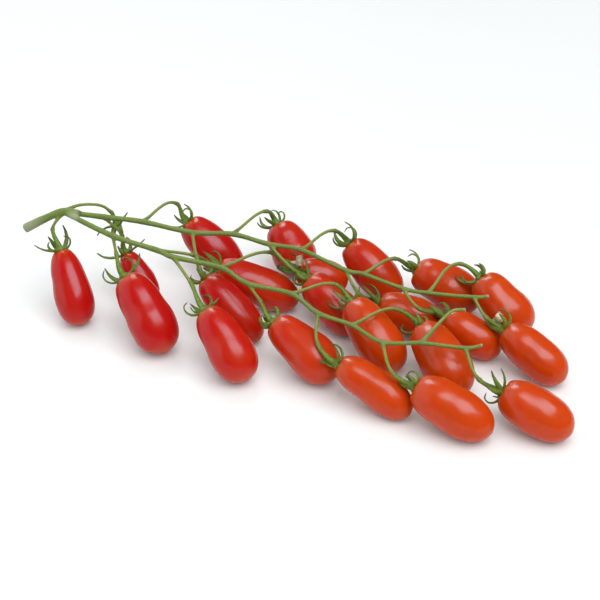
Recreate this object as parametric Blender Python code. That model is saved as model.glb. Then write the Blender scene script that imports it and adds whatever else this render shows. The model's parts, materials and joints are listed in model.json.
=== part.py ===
"""Truss of small plum tomatoes on a forked stalk, as cut from the plant and laid on a surface.

Metres, +Z up. X runs along the truss, from the cut stalk (-X) to the last fruits (+X). The origin
is on the surface that the truss lies on, under the middle of the space that it fills.
Every length below is in millimetres and every angle in degrees; MM turns a length into metres.
"""

import math
from typing import NamedTuple

import bmesh
import bpy
from mathutils import Vector

MM = 0.001
GAP = 0.3  # kept between pieces that touch on the real thing
SHARP_ANGLE = 50
MIDDLE = (4.4, 0, 0)  # middle of the truss, in the coordinates of the tables below

# Tomato skin: outline of one fruit along its axis
FRUIT_SIDES = 14
FRUIT_RINGS = 11
END_BLUNTNESS = 0.62  # below 1 the ends are blunter than an egg's
WAIST_PLACE = 0.40
WAIST_SPREAD = 0.17
DIMPLE_DEPTH = 1.6
DIMPLE_SPREAD = 0.42  # of the fruit's radius
NIPPLE_HEIGHT = 1.2
NIPPLE_SPREAD = 0.22  # of the fruit's radius
REST_FLAT = 0.5  # how much of the underside is pressed flat

# Stalk
STALK_SIDES = 8
PEDICEL_SIDES = 5
STEPS_PER_JOINT = 3
CUT_STALK_RADIUS = 3.1
FORK_RADIUS = 2.7
ARM_START_RADIUS = 2.2
ARM_END_RADIUS = 1.35
JOINT_SWELLING = 1.22
PEDICEL_RADIUS = 0.95
PEDICEL_ROOT_RADIUS = 1.45
KNUCKLE_RADIUS = 1.3
PEDICEL_STEPS = 4

# Calyx: the last stretch of pedicel, the disc on the fruit's shoulder and its sepals
NECK_RADIUS = 1.25
DISC_RADIUS = 2.4
DISC_FOOT_RADIUS = 1.9
DISC_RISE = 1.5
NECK_SIDES = 6
NECK_STEPS = 3
SEPAL_STEPS = 5
SEPAL_ROOT_OFFSET = 0.9
SEPAL_WIDTH = 2.3
SEPAL_TIP_WIDTH = 0.8
SEPAL_THICKNESS = 0.9
SEPAL_CURL_DELAY = 1.3  # above 1 the curl tightens towards the tip
FLOWER_TUBE_HEIGHTS = (-1.0, 1.5, 3.0)
FLOWER_TUBE_RADII = (1.2, 1.5, 0.8)


class Fruit(NamedTuple):
    """One tomato: where its stem end is, which way it lies and what shape it has."""

    number: int
    joint: str  # where its pedicel leaves the stalk
    knuckle: tuple  # place of the thickened bend in the pedicel
    x: float
    y: float
    heading: float  # of the blossom end, anticlockwise from +X
    pitch: float  # how far the blossom end points down
    length: float
    width: float
    taper: float  # slimmer towards the stem end
    waist: float  # share of the radius lost at the waist
    bend: float  # of the whole axis, towards its right-hand side
    lift: float = 0.0  # of a fruit held off the surface by its neighbours


# Stalk joints, from the fork outwards: the back arm and the front arm zigzag a little at each one
FORK = ("fork", (-138, -23, 55))
BACK_ARM = (
    FORK,
    ("back_3", (-117, -14, 52)),
    ("back_4", (-97, -5, 49)),
    ("back_6", (-68, 1, 46)),
    ("back_8", (-48, 12, 44)),
    ("back_10", (-26, 14, 42)),
    ("back_12", (-8, 19, 40)),
    ("back_14", (21, 15, 37)),
    ("back_15", (31, 17, 36)),
    ("back_17", (55, 16, 34)),
    ("back_18", (69, 19, 33)),
    ("back_19", (93, 26, 33)),
    ("back_end", (101, 29, 34)),
)
FRONT_ARM = (
    FORK,
    ("front_2", (-102, -29, 52)),
    ("front_5", (-76, -26, 48)),
    ("front_7", (-65, -27, 47)),
    ("front_9", (-39, -20, 43)),
    ("front_11", (-20, -25, 41)),
    ("front_13", (4, -20, 38)),
    ("front_20", (24, -29, 37)),
    ("front_16", (44, -29, 35)),
    ("front_21", (64, -35, 34)),
    ("front_lost", (83, -27, 34)),
    ("front_22", (105, -20, 33)),
    ("front_end", (113, -15, 34)),
)
CUT_STALK = ((-160, -30, 42), (-148, -27, 50), (-138, -23, 55), (-128, -21, 55))
FIRST_PEDICEL_ROOT = (-138, -24, 54)

FRUITS = (
    Fruit(1, "first", (-142, -29, 46), -135, -34, -40, 51, 45, 22.5, 0.22, 0.00, 7),
    Fruit(2, "front_2", (-98, -33, 44), -89.5, -41, -26, 40, 49, 27, 0.14, 0.00, 20),
    Fruit(3, "back_3", (-108, -10, 40), -108, -8, -19, 50, 33, 18, 0.22, 0.00, 0),
    Fruit(4, "back_4", (-93, 29, 43), -88, 29.5, 1, 40, 44, 24.5, 0.10, 0.00, 0),
    Fruit(5, "front_5", (-61, -9, 38), -53.5, 1.5, 18, 24, 51, 23.5, 0.12, 0.00, 0),
    Fruit(6, "back_6", (-59, -11, 39), -52, -16, -12, 35, 47, 22, 0.05, 0.00, 0),
    Fruit(7, "front_7", (-49, -36, 39), -36.5, -46.5, -24, 38, 46, 25.5, 0.16, 0.00, 12),
    Fruit(8, "back_8", (-43, 45, 42), -42, 57, -23, 42, 33.5, 26, 0.14, 0.06, 0),
    Fruit(9, "front_9", (-25, 15, 36), -14, 24, 31, 22, 32, 21, 0.10, 0.00, 0, 4),
    Fruit(10, "back_10", (-9, 9, 33), -2, 13, -14, 30, 42.5, 24, 0.06, 0.00, 10),
    Fruit(11, "front_11", (-11, -28, 34), -1.5, -33, -11, 25, 46.5, 26, 0.18, 0.08, 5),
    Fruit(12, "back_12", (0, 47, 39), 6.5, 53, -12, 35, 43, 24.5, 0.06, 0.00, 0),
    Fruit(13, "front_13", (23, -3, 39), 31.5, -2.5, -25, 32, 47, 26.5, 0.13, 0.00, 0),
    Fruit(14, "back_14", (32, 9, 28), 39, 19, 10, 16, 39, 23, 0.05, 0.00, 0),
    Fruit(15, "back_15", (39, 43, 33), 47, 55, 1, 18, 42.5, 26.5, 0.05, 0.00, 0),
    Fruit(16, "front_16", (59, -4, 34), 72, -0.5, -36, 21, 46.5, 27, 0.08, 0.00, 10),
    Fruit(17, "back_17", (67, 10, 28), 78.5, 20.5, -3, 22, 36.5, 21.5, 0.05, 0.00, 0),
    Fruit(18, "back_18", (76, 51, 35), 87.5, 51, -15, 35, 41, 27, 0.12, 0.09, 0),
    Fruit(19, "back_19", (103, 19, 27), 113, 20, -15, 20, 43, 23.5, 0.06, 0.00, 6),
    Fruit(20, "front_20", (30, -42, 27), 43.5, -47, -7, 20, 47, 21.5, 0.05, 0.06, 22),
    Fruit(21, "front_21", (76, -48, 26), 87, -47, -5, 16, 47, 26, 0.02, 0.00, 8),
    Fruit(22, "front_22", (117, -31, 24), 129, -29, -7, 14, 42, 25.5, 0.00, 0.00, 8),
)


class Sepal(NamedTuple):
    """One blade of a calyx."""

    around: float  # direction round the calyx; 0 is up and 90 is to the fruit's right
    length: float
    rise: float  # angle off the fruit's shoulder at the root
    curl: float  # further turn from root to tip
    sway: float  # sideways drift of the tip


# The sepals of each fruit's calyx, by the fruit's number
SEPALS = {
    1: (
        (65, 17, 5, 50, 0), (100, 10, 5, 170, 0), (190, 12, 35, 150, 4),
        (225, 20, 15, 115, 0), (290, 13, 0, 210, 3),
    ),
    2: (
        (115, 17, 0, 185, -3), (180, 20, 0, 135, 0), (210, 12, 5, 130, -1),
        (260, 19, 0, 60, -1), (305, 17, 0, 230, 6),
    ),
    3: (
        (120, 17, 0, 85, 0), (50, 9, 10, 100, 0), (190, 8, 15, 90, 0),
        (260, 12, 10, 140, 0), (335, 15, 0, 20, 0),
    ),
    4: (
        (100, 10, 0, 70, 0), (200, 11, 20, 125, 0), (245, 8, 10, 115, 0),
        (315, 13, 0, 240, 3), (0, 15, 0, 140, -1),
    ),
    5: (
        (35, 10, 10, 120, 0), (130, 11, 0, 160, 2), (200, 10, 20, 100, 0),
        (250, 15, 20, 120, -3), (320, 12, 0, 150, 0),
    ),
    6: (
        (40, 11, 0, 120, 0), (120, 12, 0, 200, -4), (180, 18, 0, 80, -5),
        (245, 14, 0, 75, -2), (310, 12, 0, 150, 3),
    ),
    7: (
        (100, 17, 0, 220, -3), (150, 9, 10, 120, 0), (205, 16, 0, 110, 3),
        (245, 18, 0, 20, 0), (290, 13, 0, 190, 5),
    ),
    8: (
        (75, 9, 30, 50, 0), (120, 13, 0, 115, -3), (155, 18, 0, 130, -6),
        (265, 12, 30, 165, 0), (320, 12, 0, 240, 5),
    ),
    9: (
        (90, 13, 10, 0, 0), (180, 11, 60, 110, 3), (220, 18, 30, 210, 0),
        (270, 10, 30, 60, 0), (330, 11, 0, 120, 0),
    ),
    10: (
        (60, 11, 20, 180, 0), (130, 12, 0, 200, 0), (200, 9, 0, 120, 0),
        (250, 11, 30, 200, 0), (310, 12, 45, 30, 0),
    ),
    11: (
        (100, 13, 20, 240, 0), (140, 10, 0, 180, -3), (200, 9, 20, 150, 0),
        (290, 12, 0, 230, 2), (340, 10, 0, 180, 5),
    ),
    12: (
        (85, 17, 8, 175, 4), (125, 12, 20, 135, 0), (230, 10, 20, 120, 0),
        (315, 16, 0, 260, -5), (355, 18, 0, 140, -3),
    ),
    13: (
        (120, 9, 0, 230, -5), (160, 18, 0, 115, 0), (195, 16, 42, 60, 2),
        (265, 12, 10, 60, 0), (330, 11, 0, 150, 0),
    ),
    14: (
        (35, 18, 40, 10, 2), (120, 10, 0, 120, 0), (180, 9, 20, 120, 0),
        (250, 11, 0, 60, 0), (300, 14, 20, 100, 0),
    ),
    15: (
        (30, 10, 0, 150, 0), (145, 9, 55, 90, -1), (215, 15, 0, 0, 0),
        (285, 16, 0, 130, 0), (320, 14, 0, 200, 5),
    ),
    16: (
        (10, 10, 0, 140, 0), (110, 16, 0, 200, -5), (170, 18, 10, 95, 1),
        (245, 9, 30, 130, 0), (295, 11, 0, 210, 3),
    ),
    17: (
        (0, 10, 0, 120, 0), (50, 17, 35, 230, 0), (160, 10, 60, 110, -2),
        (230, 8, 38, 100, 0), (300, 14, 0, 200, 5),
    ),
    18: (
        (0, 11, 0, 140, 0), (115, 14, 0, 200, -3), (155, 16, 10, 110, 0),
        (240, 10, 0, 65, 0), (275, 13, 5, 170, 3),
    ),
    19: (
        (10, 12, 0, 110, 0), (105, 13, 65, 80, -2), (170, 11, 60, 60, 0),
        (230, 10, 30, 60, 0), (295, 17, 0, 175, 0),
    ),
    20: (
        (10, 15, 15, 35, 0), (140, 12, 58, 140, -4), (190, 8, 68, 60, 0),
        (240, 11, 62, 120, 4), (300, 16, 0, 165, 3),
    ),
    21: (
        (20, 11, 0, 120, 0), (120, 12, 68, 120, -3), (190, 8, 60, 60, 0),
        (250, 10, 30, 60, 0), (315, 14, 0, 230, 5),
    ),
    22: (
        (20, 17, 35, -15, 0), (60, 11, 25, 135, 0), (130, 15, 0, 225, -5),
        (200, 13, 0, 60, -2), (345, 13, 5, 65, 0),
    ),
}

# Where the fruit never set there is a calyx alone, behind the front arm
BARREN_CALYX_BASE = (-113.5, -6, 43)
BARREN_SEPALS = (
    (295, 13, 10, -60, 0),
    (115, 9, 25, 20, 0),
    (0, 13, -25, -80, 0),
    (50, 8, -20, -40, 0),
    (205, 9, 0, 60, 0),
)

# Withered flowers caught by two calyces: name, place of the foot, direction that the petals point
DRIED_FLOWERS = (
    ("dried_flower_10", (-9, 19.5, 30), (-0.5, 0.6, 0.6)),
    ("dried_flower_19", (110, 24, 23.5), (-0.85, 0.1, 0.5)),
)
PETALS = ((0, 5, 35, 40, 1), (80, 4.5, 50, 60, -1), (170, 5, 30, 70, 1), (265, 5, 25, 50, -1))

LOST_FRUIT_PEDICEL = ((83, -27, 34), (86, -11, 36.5), (89, 1, 38), (93, 5, 38), (95, 7, 37))
BARREN_PEDICEL = ((-138, -22, 55), (-131, -15, 57), (-122, -8, 55), (-117, -5, 50))


# Materials


def material(name: str, colour: tuple, roughness: float) -> bpy.types.Material:
    """Return a Principled material; colour is linear red, green and blue."""
    found = bpy.data.materials.get(name)
    if found:
        return found
    made = bpy.data.materials.new(name)
    made.use_nodes = True
    shader = made.node_tree.nodes["Principled BSDF"]
    shader.inputs["Base Color"].default_value = (*colour, 1.0)
    shader.inputs["Roughness"].default_value = roughness
    shader.inputs["Metallic"].default_value = 0.0
    return made


def red_skin() -> bpy.types.Material:
    """Deep glossy red."""
    return material("tomato_skin", (0.60, 0.018, 0.008), 0.22)


def green_stalk() -> bpy.types.Material:
    """Light green of the stalk."""
    return material("green_stalk", (0.17, 0.27, 0.06), 0.60)


def green_calyx() -> bpy.types.Material:
    """Darker green of the calyces."""
    return material("green_calyx", (0.09, 0.17, 0.03), 0.60)


def dry_petal() -> bpy.types.Material:
    """Straw colour of a withered flower."""
    return material("dry_petal", (0.55, 0.42, 0.20), 0.80)


# Meshes


def new_object(name: str, shape: bmesh.types.BMesh, surface: bpy.types.Material) -> bpy.types.Object:
    """Turn a bmesh in the tables' millimetres into an object in metres, faces outward."""
    bmesh.ops.translate(shape, verts=shape.verts, vec=-Vector(MIDDLE))
    bmesh.ops.scale(shape, verts=shape.verts, vec=(MM, MM, MM))
    bmesh.ops.recalc_face_normals(shape, faces=shape.faces)
    mesh = bpy.data.meshes.new(name)
    shape.to_mesh(mesh)
    shape.free()
    mesh.shade_smooth()
    mesh.set_sharp_from_angle(angle=math.radians(SHARP_ANGLE))
    mesh.materials.append(surface)
    made = bpy.data.objects.new(name, mesh)
    bpy.context.scene.collection.objects.link(made)
    return made


def skin_rings(shape: bmesh.types.BMesh, rings: list) -> None:
    """Join rings of points into one closed skin with a flat face at each end."""
    loops = [[shape.verts.new(point) for point in ring] for ring in rings]
    sides = len(loops[0])
    for near, far in zip(loops, loops[1:]):
        for side in range(sides):
            after = (side + 1) % sides
            shape.faces.new((near[side], near[after], far[after], far[side]))
    shape.faces.new(list(reversed(loops[0])))
    shape.faces.new(loops[-1])


def joined(name: str, pieces: list, surface: bpy.types.Material) -> bpy.types.Object:
    """Grow closed pieces together into one solid by a single union."""
    others = bpy.data.collections.new(name + "_pieces")
    bpy.context.scene.collection.children.link(others)
    solids = [new_object(f"{name}_{index}", piece, surface) for index, piece in enumerate(pieces)]
    body = solids[0]
    body.name = name
    for solid in solids[1:]:
        bpy.context.scene.collection.objects.unlink(solid)
        others.objects.link(solid)
    union = body.modifiers.new("grown_together", "BOOLEAN")
    union.operation = "UNION"
    union.operand_type = "COLLECTION"
    union.collection = others
    union.solver = "EXACT"
    bpy.context.view_layer.objects.active = body
    bpy.ops.object.modifier_apply(modifier=union.name)
    for solid in solids[1:]:
        bpy.data.objects.remove(solid)
    bpy.data.collections.remove(others)
    return body


# Curves


def smooth_through(points: list, steps: int) -> list:
    """Points along a Catmull-Rom curve through the given ones."""
    first = points[0] * 2 - points[1]
    last = points[-1] * 2 - points[-2]
    padded = [first, *points, last]
    path = []
    for before, start, end, after in zip(padded, padded[1:], padded[2:], padded[3:]):
        for step in range(steps):
            t = step / steps
            path.append(
                0.5
                * (
                    start * 2
                    + (end - before) * t
                    + (before * 2 - start * 5 + end * 4 - after) * t**2
                    + (start * 3 - before - end * 3 + after) * t**3
                )
            )
    path.append(points[-1].copy())
    return path


def bezier(start: Vector, leave: Vector, arrive: Vector, end: Vector, steps: int) -> list:
    """Points along one cubic curve; leave and arrive are its two handles."""
    path = []
    for step in range(steps + 1):
        t = step / steps
        u = 1 - t
        path.append(start * u**3 + leave * (3 * u * u * t) + arrive * (3 * u * t * t) + end * t**3)
    return path


def tube(path: list, radii: list, sides: int, first_way=None, last_way=None) -> bmesh.types.BMesh:
    """A closed round tube; its rings are carried along the path so that they don't twist.

    first_way and last_way, where given, are the directions that its end faces are square to.
    """
    rings = []
    across = None
    for index, centre in enumerate(path):
        ahead = path[min(index + 1, len(path) - 1)]
        behind = path[max(index - 1, 0)]
        along = (ahead - behind).normalized()
        if first_way and index == 0:
            along = first_way
        if last_way and index == len(path) - 1:
            along = last_way
        if across is None:
            across = along.orthogonal().normalized()
        across = (across - along * across.dot(along)).normalized()
        other = along.cross(across)
        ring = []
        for side in range(sides):
            turn = math.tau * side / sides
            ring.append(centre + (across * math.cos(turn) + other * math.sin(turn)) * radii[index])
        rings.append(ring)
    shape = bmesh.new()
    skin_rings(shape, rings)
    return shape


def blend(start: float, end: float, share: float) -> float:
    """The value a share of the way from start to end."""
    return start + (end - start) * share


# Tomatoes


class FruitAxis:
    """The bent centre line of one fruit and the directions across it."""

    def __init__(self, fruit: Fruit):
        heading = math.radians(fruit.heading)
        pitch = math.radians(fruit.pitch)
        level = Vector((math.cos(heading), math.sin(heading), 0))
        self.length = fruit.length
        self.chord = level * math.cos(pitch) - Vector((0, 0, math.sin(pitch)))
        self.right = Vector((math.sin(heading), -math.cos(heading), 0))
        self.bend = math.radians(fruit.bend)

    def place(self, station: float) -> Vector:
        """Point on the axis, station millimetres from the stem end."""
        if self.bend == 0:
            return self.chord * station
        radius = self.length / self.bend
        start = -self.bend / 2
        turn = start + station / radius
        forward = math.sin(turn) - math.sin(start)
        sideways = math.cos(start) - math.cos(turn)
        return (self.chord * forward + self.right * sideways) * radius

    def across(self, station: float) -> tuple:
        """Two unit directions square to the axis at a station."""
        turn = self.bend * (station / self.length - 0.5)
        side = self.right * math.cos(turn) - self.chord * math.sin(turn)
        along = self.chord * math.cos(turn) + self.right * math.sin(turn)
        return side, along.cross(side)


def outline(fruit: Fruit) -> list:
    """The fruit's turned outline: (station, radius) pairs from stem end to blossom end."""
    raw = []
    for ring in range(FRUIT_RINGS + 1):
        turn = math.pi * ring / FRUIT_RINGS
        share = 0.5 - 0.5 * math.cos(turn)
        waist = fruit.waist * math.exp(-(((share - WAIST_PLACE) / WAIST_SPREAD) ** 2))
        full = abs(math.sin(turn)) ** END_BLUNTNESS * (1 - fruit.taper * math.cos(turn)) * (1 - waist)
        raw.append((share, full))
    widest = max(full for _, full in raw)
    pairs = []
    for share, full in raw:
        relative = full / widest
        station = share * fruit.length
        if share < 0.5:
            station += DIMPLE_DEPTH * math.exp(-((relative / DIMPLE_SPREAD) ** 2))
        else:
            station += NIPPLE_HEIGHT * math.exp(-((relative / NIPPLE_SPREAD) ** 2))
        pairs.append((station, relative * fruit.width / 2))
    return pairs


def fruit_points(fruit: Fruit) -> list:
    """Rings of points for one fruit with its stem end at x, y and height 0."""
    axis = FruitAxis(fruit)
    foot = Vector((fruit.x, fruit.y, 0))
    rings = []
    for station, radius in outline(fruit):
        side, other = axis.across(station)
        centre = foot + axis.place(station)
        ring = []
        for step in range(FRUIT_SIDES):
            turn = math.tau * step / FRUIT_SIDES
            ring.append(centre + (side * math.cos(turn) + other * math.sin(turn)) * radius)
        rings.append(ring)
    return rings


def resting_height(fruit: Fruit) -> float:
    """How far the points of fruit_points go up so that the fruit rests on its flat spot."""
    lowest = min(point.z for ring in fruit_points(fruit) for point in ring)
    if fruit.lift:
        return fruit.lift - lowest
    return -REST_FLAT - lowest


def add_fruit(fruit: Fruit) -> bpy.types.Object:
    """One tomato, with a flat spot where it touches the surface."""
    rise = Vector((0, 0, resting_height(fruit)))
    rings = [[point + rise for point in ring] for ring in fruit_points(fruit)]
    shape = bmesh.new()
    poles = [shape.verts.new(rings[end][0]) for end in (0, -1)]
    loops = [[shape.verts.new(point) for point in ring] for ring in rings[1:-1]]
    for near, far in zip(loops, loops[1:]):
        for side in range(FRUIT_SIDES):
            after = (side + 1) % FRUIT_SIDES
            shape.faces.new((near[side], near[after], far[after], far[side]))
    for side in range(FRUIT_SIDES):
        after = (side + 1) % FRUIT_SIDES
        shape.faces.new((poles[0], loops[0][after], loops[0][side]))
        shape.faces.new((poles[1], loops[-1][side], loops[-1][after]))
    if not fruit.lift:
        everything = [*shape.verts, *shape.edges, *shape.faces]
        cut = bmesh.ops.bisect_plane(
            shape, geom=everything, plane_co=(0, 0, 0), plane_no=(0, 0, 1), clear_inner=True
        )
        rim = [item for item in cut["geom_cut"] if isinstance(item, bmesh.types.BMEdge)]
        bmesh.ops.edgeloop_fill(shape, edges=rim)
    return new_object(f"fruit_{fruit.number:02d}", shape, red_skin())


# Calyces


class Calyx(NamedTuple):
    """Where a green top sits, which way it faces and where its pedicel arrives."""

    base: Vector
    outward: Vector  # away from the fruit
    right: Vector
    up: Vector
    knuckle: Vector

    @property
    def neck_end(self) -> Vector:
        return self.base + self.outward * DISC_RISE


def calyx_of(fruit: Fruit) -> Calyx:
    """The calyx on the shoulder of one fruit."""
    axis = FruitAxis(fruit)
    shoulder = min(station for station, _ in outline(fruit))
    right, other = axis.across(0)
    outward = other.cross(right).normalized()
    if outward.dot(axis.chord) > 0:
        outward = -outward
    up = right.cross(outward)
    if up.z < 0:
        up = -up
    stem_end = Vector((fruit.x, fruit.y, resting_height(fruit)))
    clearance = GAP + SEPAL_THICKNESS / 2
    return Calyx(stem_end + outward * (clearance - shoulder), outward, right, up, Vector(fruit.knuckle))


def free_calyx(base: Vector, outward: Vector, knuckle: Vector) -> Calyx:
    """A calyx or withered flower without a fruit; its right is as near +X as can be."""
    outward = outward.normalized()
    forward = outward.cross(Vector((1, 0, 0))).normalized()
    return Calyx(base, outward, forward.cross(outward), -forward, knuckle)


def knuckle_direction(root: Vector, knuckle: Vector, calyx: Vector) -> Vector:
    """Which way the pedicel runs as it passes its knuckle."""
    return ((knuckle - root).normalized() + (calyx - knuckle).normalized()).normalized()


def neck(calyx: Calyx, root: Vector) -> bmesh.types.BMesh:
    """The pedicel from its knuckle to the disc on the fruit."""
    way = knuckle_direction(root, calyx.knuckle, calyx.base)
    start = calyx.knuckle + way * GAP / 2
    reach = (calyx.neck_end - start).length / 3
    arrive = calyx.neck_end + calyx.outward * reach
    path = bezier(start, start + way * reach, arrive, calyx.neck_end, NECK_STEPS)
    path.append(calyx.base + calyx.outward * SEPAL_THICKNESS / 2)
    path.append(calyx.base.copy())
    radii = [KNUCKLE_RADIUS]
    for step in range(1, NECK_STEPS + 1):
        radii.append(blend(PEDICEL_RADIUS, NECK_RADIUS, step / NECK_STEPS))
    radii += [DISC_RADIUS, DISC_FOOT_RADIUS]
    return tube(path, radii, NECK_SIDES, first_way=way, last_way=-calyx.outward)


def sepal_blade(calyx: Calyx, sepal: Sepal) -> bmesh.types.BMesh:
    """One blade that leaves the disc sideways and curls back, narrowing to its tip."""
    turn = math.radians(sepal.around)
    radial = calyx.up * math.cos(turn) + calyx.right * math.sin(turn)
    sideways = calyx.outward.cross(radial)
    centre = calyx.base + radial * SEPAL_ROOT_OFFSET
    step_length = sepal.length / SEPAL_STEPS
    rings = []
    for step in range(SEPAL_STEPS + 1):
        share = step / SEPAL_STEPS
        angle = math.radians(sepal.rise + sepal.curl * share**SEPAL_CURL_DELAY)
        along = radial * math.cos(angle) + calyx.outward * math.sin(angle)
        thick = calyx.outward * math.cos(angle) - radial * math.sin(angle)
        width = blend(SEPAL_WIDTH, SEPAL_TIP_WIDTH, math.sqrt(share)) / 2
        place = centre + sideways * (sepal.sway * share)
        face = place + thick * SEPAL_THICKNESS / 2
        keel = place - thick * SEPAL_THICKNESS / 2
        rings.append([face + sideways * width, face - sideways * width, keel])
        centre = centre + along * step_length
    shape = bmesh.new()
    skin_rings(shape, rings)
    return shape


def barren_direction() -> Vector:
    """Which way the barren pedicel runs as it passes its knuckle."""
    before, knuckle = as_points(BARREN_PEDICEL[-2:])
    return knuckle_direction(before, knuckle, Vector(BARREN_CALYX_BASE))


def add_calyx(fruit: Fruit, root: Vector) -> bpy.types.Object:
    """The green top of one fruit with the short stretch of pedicel above it."""
    calyx = calyx_of(fruit)
    pieces = [neck(calyx, root)]
    for row in SEPALS[fruit.number]:
        pieces.append(sepal_blade(calyx, Sepal(*row)))
    return joined(f"calyx_{fruit.number:02d}", pieces, green_calyx())


def add_barren_calyx() -> bpy.types.Object:
    """The green top whose fruit never set, hanging from its own knuckle."""
    base = Vector(BARREN_CALYX_BASE)
    before, knuckle = as_points(BARREN_PEDICEL[-2:])
    calyx = free_calyx(base, knuckle - base, knuckle)
    pieces = [neck(calyx, before)]
    for row in BARREN_SEPALS:
        pieces.append(sepal_blade(calyx, Sepal(*row)))
    return joined("calyx_barren", pieces, green_calyx())


def add_dried_flower(name: str, foot: tuple, way: tuple) -> bpy.types.Object:
    """The straw-coloured rest of a flower: a short tube with crumpled petals."""
    flower = free_calyx(Vector(foot), Vector(way), Vector(foot))
    path = [flower.base + flower.outward * height for height in FLOWER_TUBE_HEIGHTS]
    pieces = [tube(path, FLOWER_TUBE_RADII, NECK_SIDES)]
    for row in PETALS:
        pieces.append(sepal_blade(flower, Sepal(*row)))
    return joined(name, pieces, dry_petal())


# Stalk


def as_points(places) -> list:
    """The places as vectors."""
    return [Vector(place) for place in places]


def joint_places() -> dict:
    """Every joint of both arms by name, and the root of the first pedicel."""
    places = {name: Vector(place) for name, place in (*BACK_ARM, *FRONT_ARM)}
    places["first"] = Vector(FIRST_PEDICEL_ROOT)
    return places


def arm(joints: tuple) -> bmesh.types.BMesh:
    """One arm of the stalk, slimmer towards its cut end and swollen at each joint."""
    path = smooth_through(as_points(place for _, place in joints), STEPS_PER_JOINT)
    radii = []
    for index in range(len(path)):
        radius = blend(ARM_START_RADIUS, ARM_END_RADIUS, index / (len(path) - 1))
        at_joint = index % STEPS_PER_JOINT == 0 and 0 < index < len(path) - 1
        radii.append(radius * JOINT_SWELLING if at_joint else radius)
    return tube(path, radii, STALK_SIDES)


def pedicel_radii(stations: int) -> list:
    """Radii along a pedicel: a wide root, an even middle and the knuckle."""
    return [PEDICEL_ROOT_RADIUS, *[PEDICEL_RADIUS] * (stations - 2), KNUCKLE_RADIUS]


def pedicel(root: Vector, knuckle: Vector, calyx: Vector) -> bmesh.types.BMesh:
    """The pedicel from its joint on the stalk to its knuckle, where it ends square."""
    way = knuckle_direction(root, knuckle, calyx)
    end = knuckle - way * GAP / 2
    reach = (end - root).length / 3
    leave = root + (knuckle - root).normalized() * reach
    path = bezier(root, leave, end - way * reach, end, PEDICEL_STEPS)
    return tube(path, pedicel_radii(len(path)), PEDICEL_SIDES, last_way=way)


def add_stalk() -> bpy.types.Object:
    """The cut stalk, its two arms and every pedicel up to its knuckle, grown as one."""
    cut_stalk = smooth_through(as_points(CUT_STALK), STEPS_PER_JOINT)
    last = len(cut_stalk) - 1
    thickness = [blend(CUT_STALK_RADIUS, FORK_RADIUS, index / last) for index in range(last + 1)]
    pieces = [arm(FRONT_ARM), arm(BACK_ARM), tube(cut_stalk, thickness, STALK_SIDES)]
    places = joint_places()
    for fruit in FRUITS:
        pieces.append(pedicel(places[fruit.joint], Vector(fruit.knuckle), calyx_of(fruit).base))
    barren_end = Vector(BARREN_PEDICEL[-1]) - barren_direction() * GAP / 2
    for points, last_way in (
        (as_points(LOST_FRUIT_PEDICEL), None),
        ([*as_points(BARREN_PEDICEL[:-1]), barren_end], barren_direction()),
    ):
        path = smooth_through(points, STEPS_PER_JOINT)
        pieces.append(tube(path, pedicel_radii(len(path)), PEDICEL_SIDES, last_way=last_way))
    return joined("stalk", pieces, green_stalk())


def clear_scene() -> None:
    """Empty the scene."""
    for item in list(bpy.data.objects):
        bpy.data.objects.remove(item)


def main() -> None:
    clear_scene()
    add_stalk()
    places = joint_places()
    for fruit in FRUITS:
        add_fruit(fruit)
        add_calyx(fruit, places[fruit.joint])
    add_barren_calyx()
    for name, foot, way in DRIED_FLOWERS:
        add_dried_flower(name, foot, way)


main()
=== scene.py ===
"""Looks of a truss of small plum tomatoes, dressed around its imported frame.

Lengths in the tables are millimetres and angles are degrees. MM turns a length into metres, and
MIDDLE is what the tables' coordinates lose on the way.
"""

from __future__ import annotations

import json
import logging
import math
import random
from dataclasses import dataclass
from enum import Enum
from typing import NamedTuple

import bpy
import numpy as np
from mathutils import Matrix, Vector
from mathutils.kdtree import KDTree

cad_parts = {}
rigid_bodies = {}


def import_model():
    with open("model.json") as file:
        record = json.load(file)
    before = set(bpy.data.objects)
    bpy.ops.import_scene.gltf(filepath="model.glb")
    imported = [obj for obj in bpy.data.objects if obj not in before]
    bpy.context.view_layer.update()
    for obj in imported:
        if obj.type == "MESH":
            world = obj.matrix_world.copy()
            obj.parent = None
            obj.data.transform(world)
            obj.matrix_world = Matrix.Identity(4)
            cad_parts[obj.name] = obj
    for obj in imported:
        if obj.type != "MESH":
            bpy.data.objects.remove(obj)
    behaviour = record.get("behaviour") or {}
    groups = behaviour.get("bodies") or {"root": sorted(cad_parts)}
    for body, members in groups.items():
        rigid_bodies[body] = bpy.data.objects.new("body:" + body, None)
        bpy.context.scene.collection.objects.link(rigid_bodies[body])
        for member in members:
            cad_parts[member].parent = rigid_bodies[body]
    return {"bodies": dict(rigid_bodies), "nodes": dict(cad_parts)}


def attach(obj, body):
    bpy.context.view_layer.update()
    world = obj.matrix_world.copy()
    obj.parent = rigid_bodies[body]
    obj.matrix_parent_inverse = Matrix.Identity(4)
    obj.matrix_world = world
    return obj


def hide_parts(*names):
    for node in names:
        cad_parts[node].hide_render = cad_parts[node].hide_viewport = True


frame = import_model()

LOG = logging.getLogger("truss")
MM = 0.001
MIDDLE = Vector((4.4, 0, 0))
BODY = "root"
EPSILON = 1e-4

# Outline of a fruit along its axis
RINGS_OF_FRAME = 11
SIDES_OF_FRAME = 14
BLUNTNESS = 0.62
WAIST_PLACE = 0.40
WAIST_SPREAD = 0.17
DIMPLE_DEPTH = 1.6
DIMPLE_SPREAD = 0.42
NIPPLE_SPREAD = 0.24
DIP_SPREAD = 0.13
TIP_ROUNDING = 0.2
REST_FLAT = 0.5
REST_SOFTNESS = 0.35
CREASES = 5.0
CREASE_PLACE = 0.03
CREASE_SPREAD = 0.045

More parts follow.
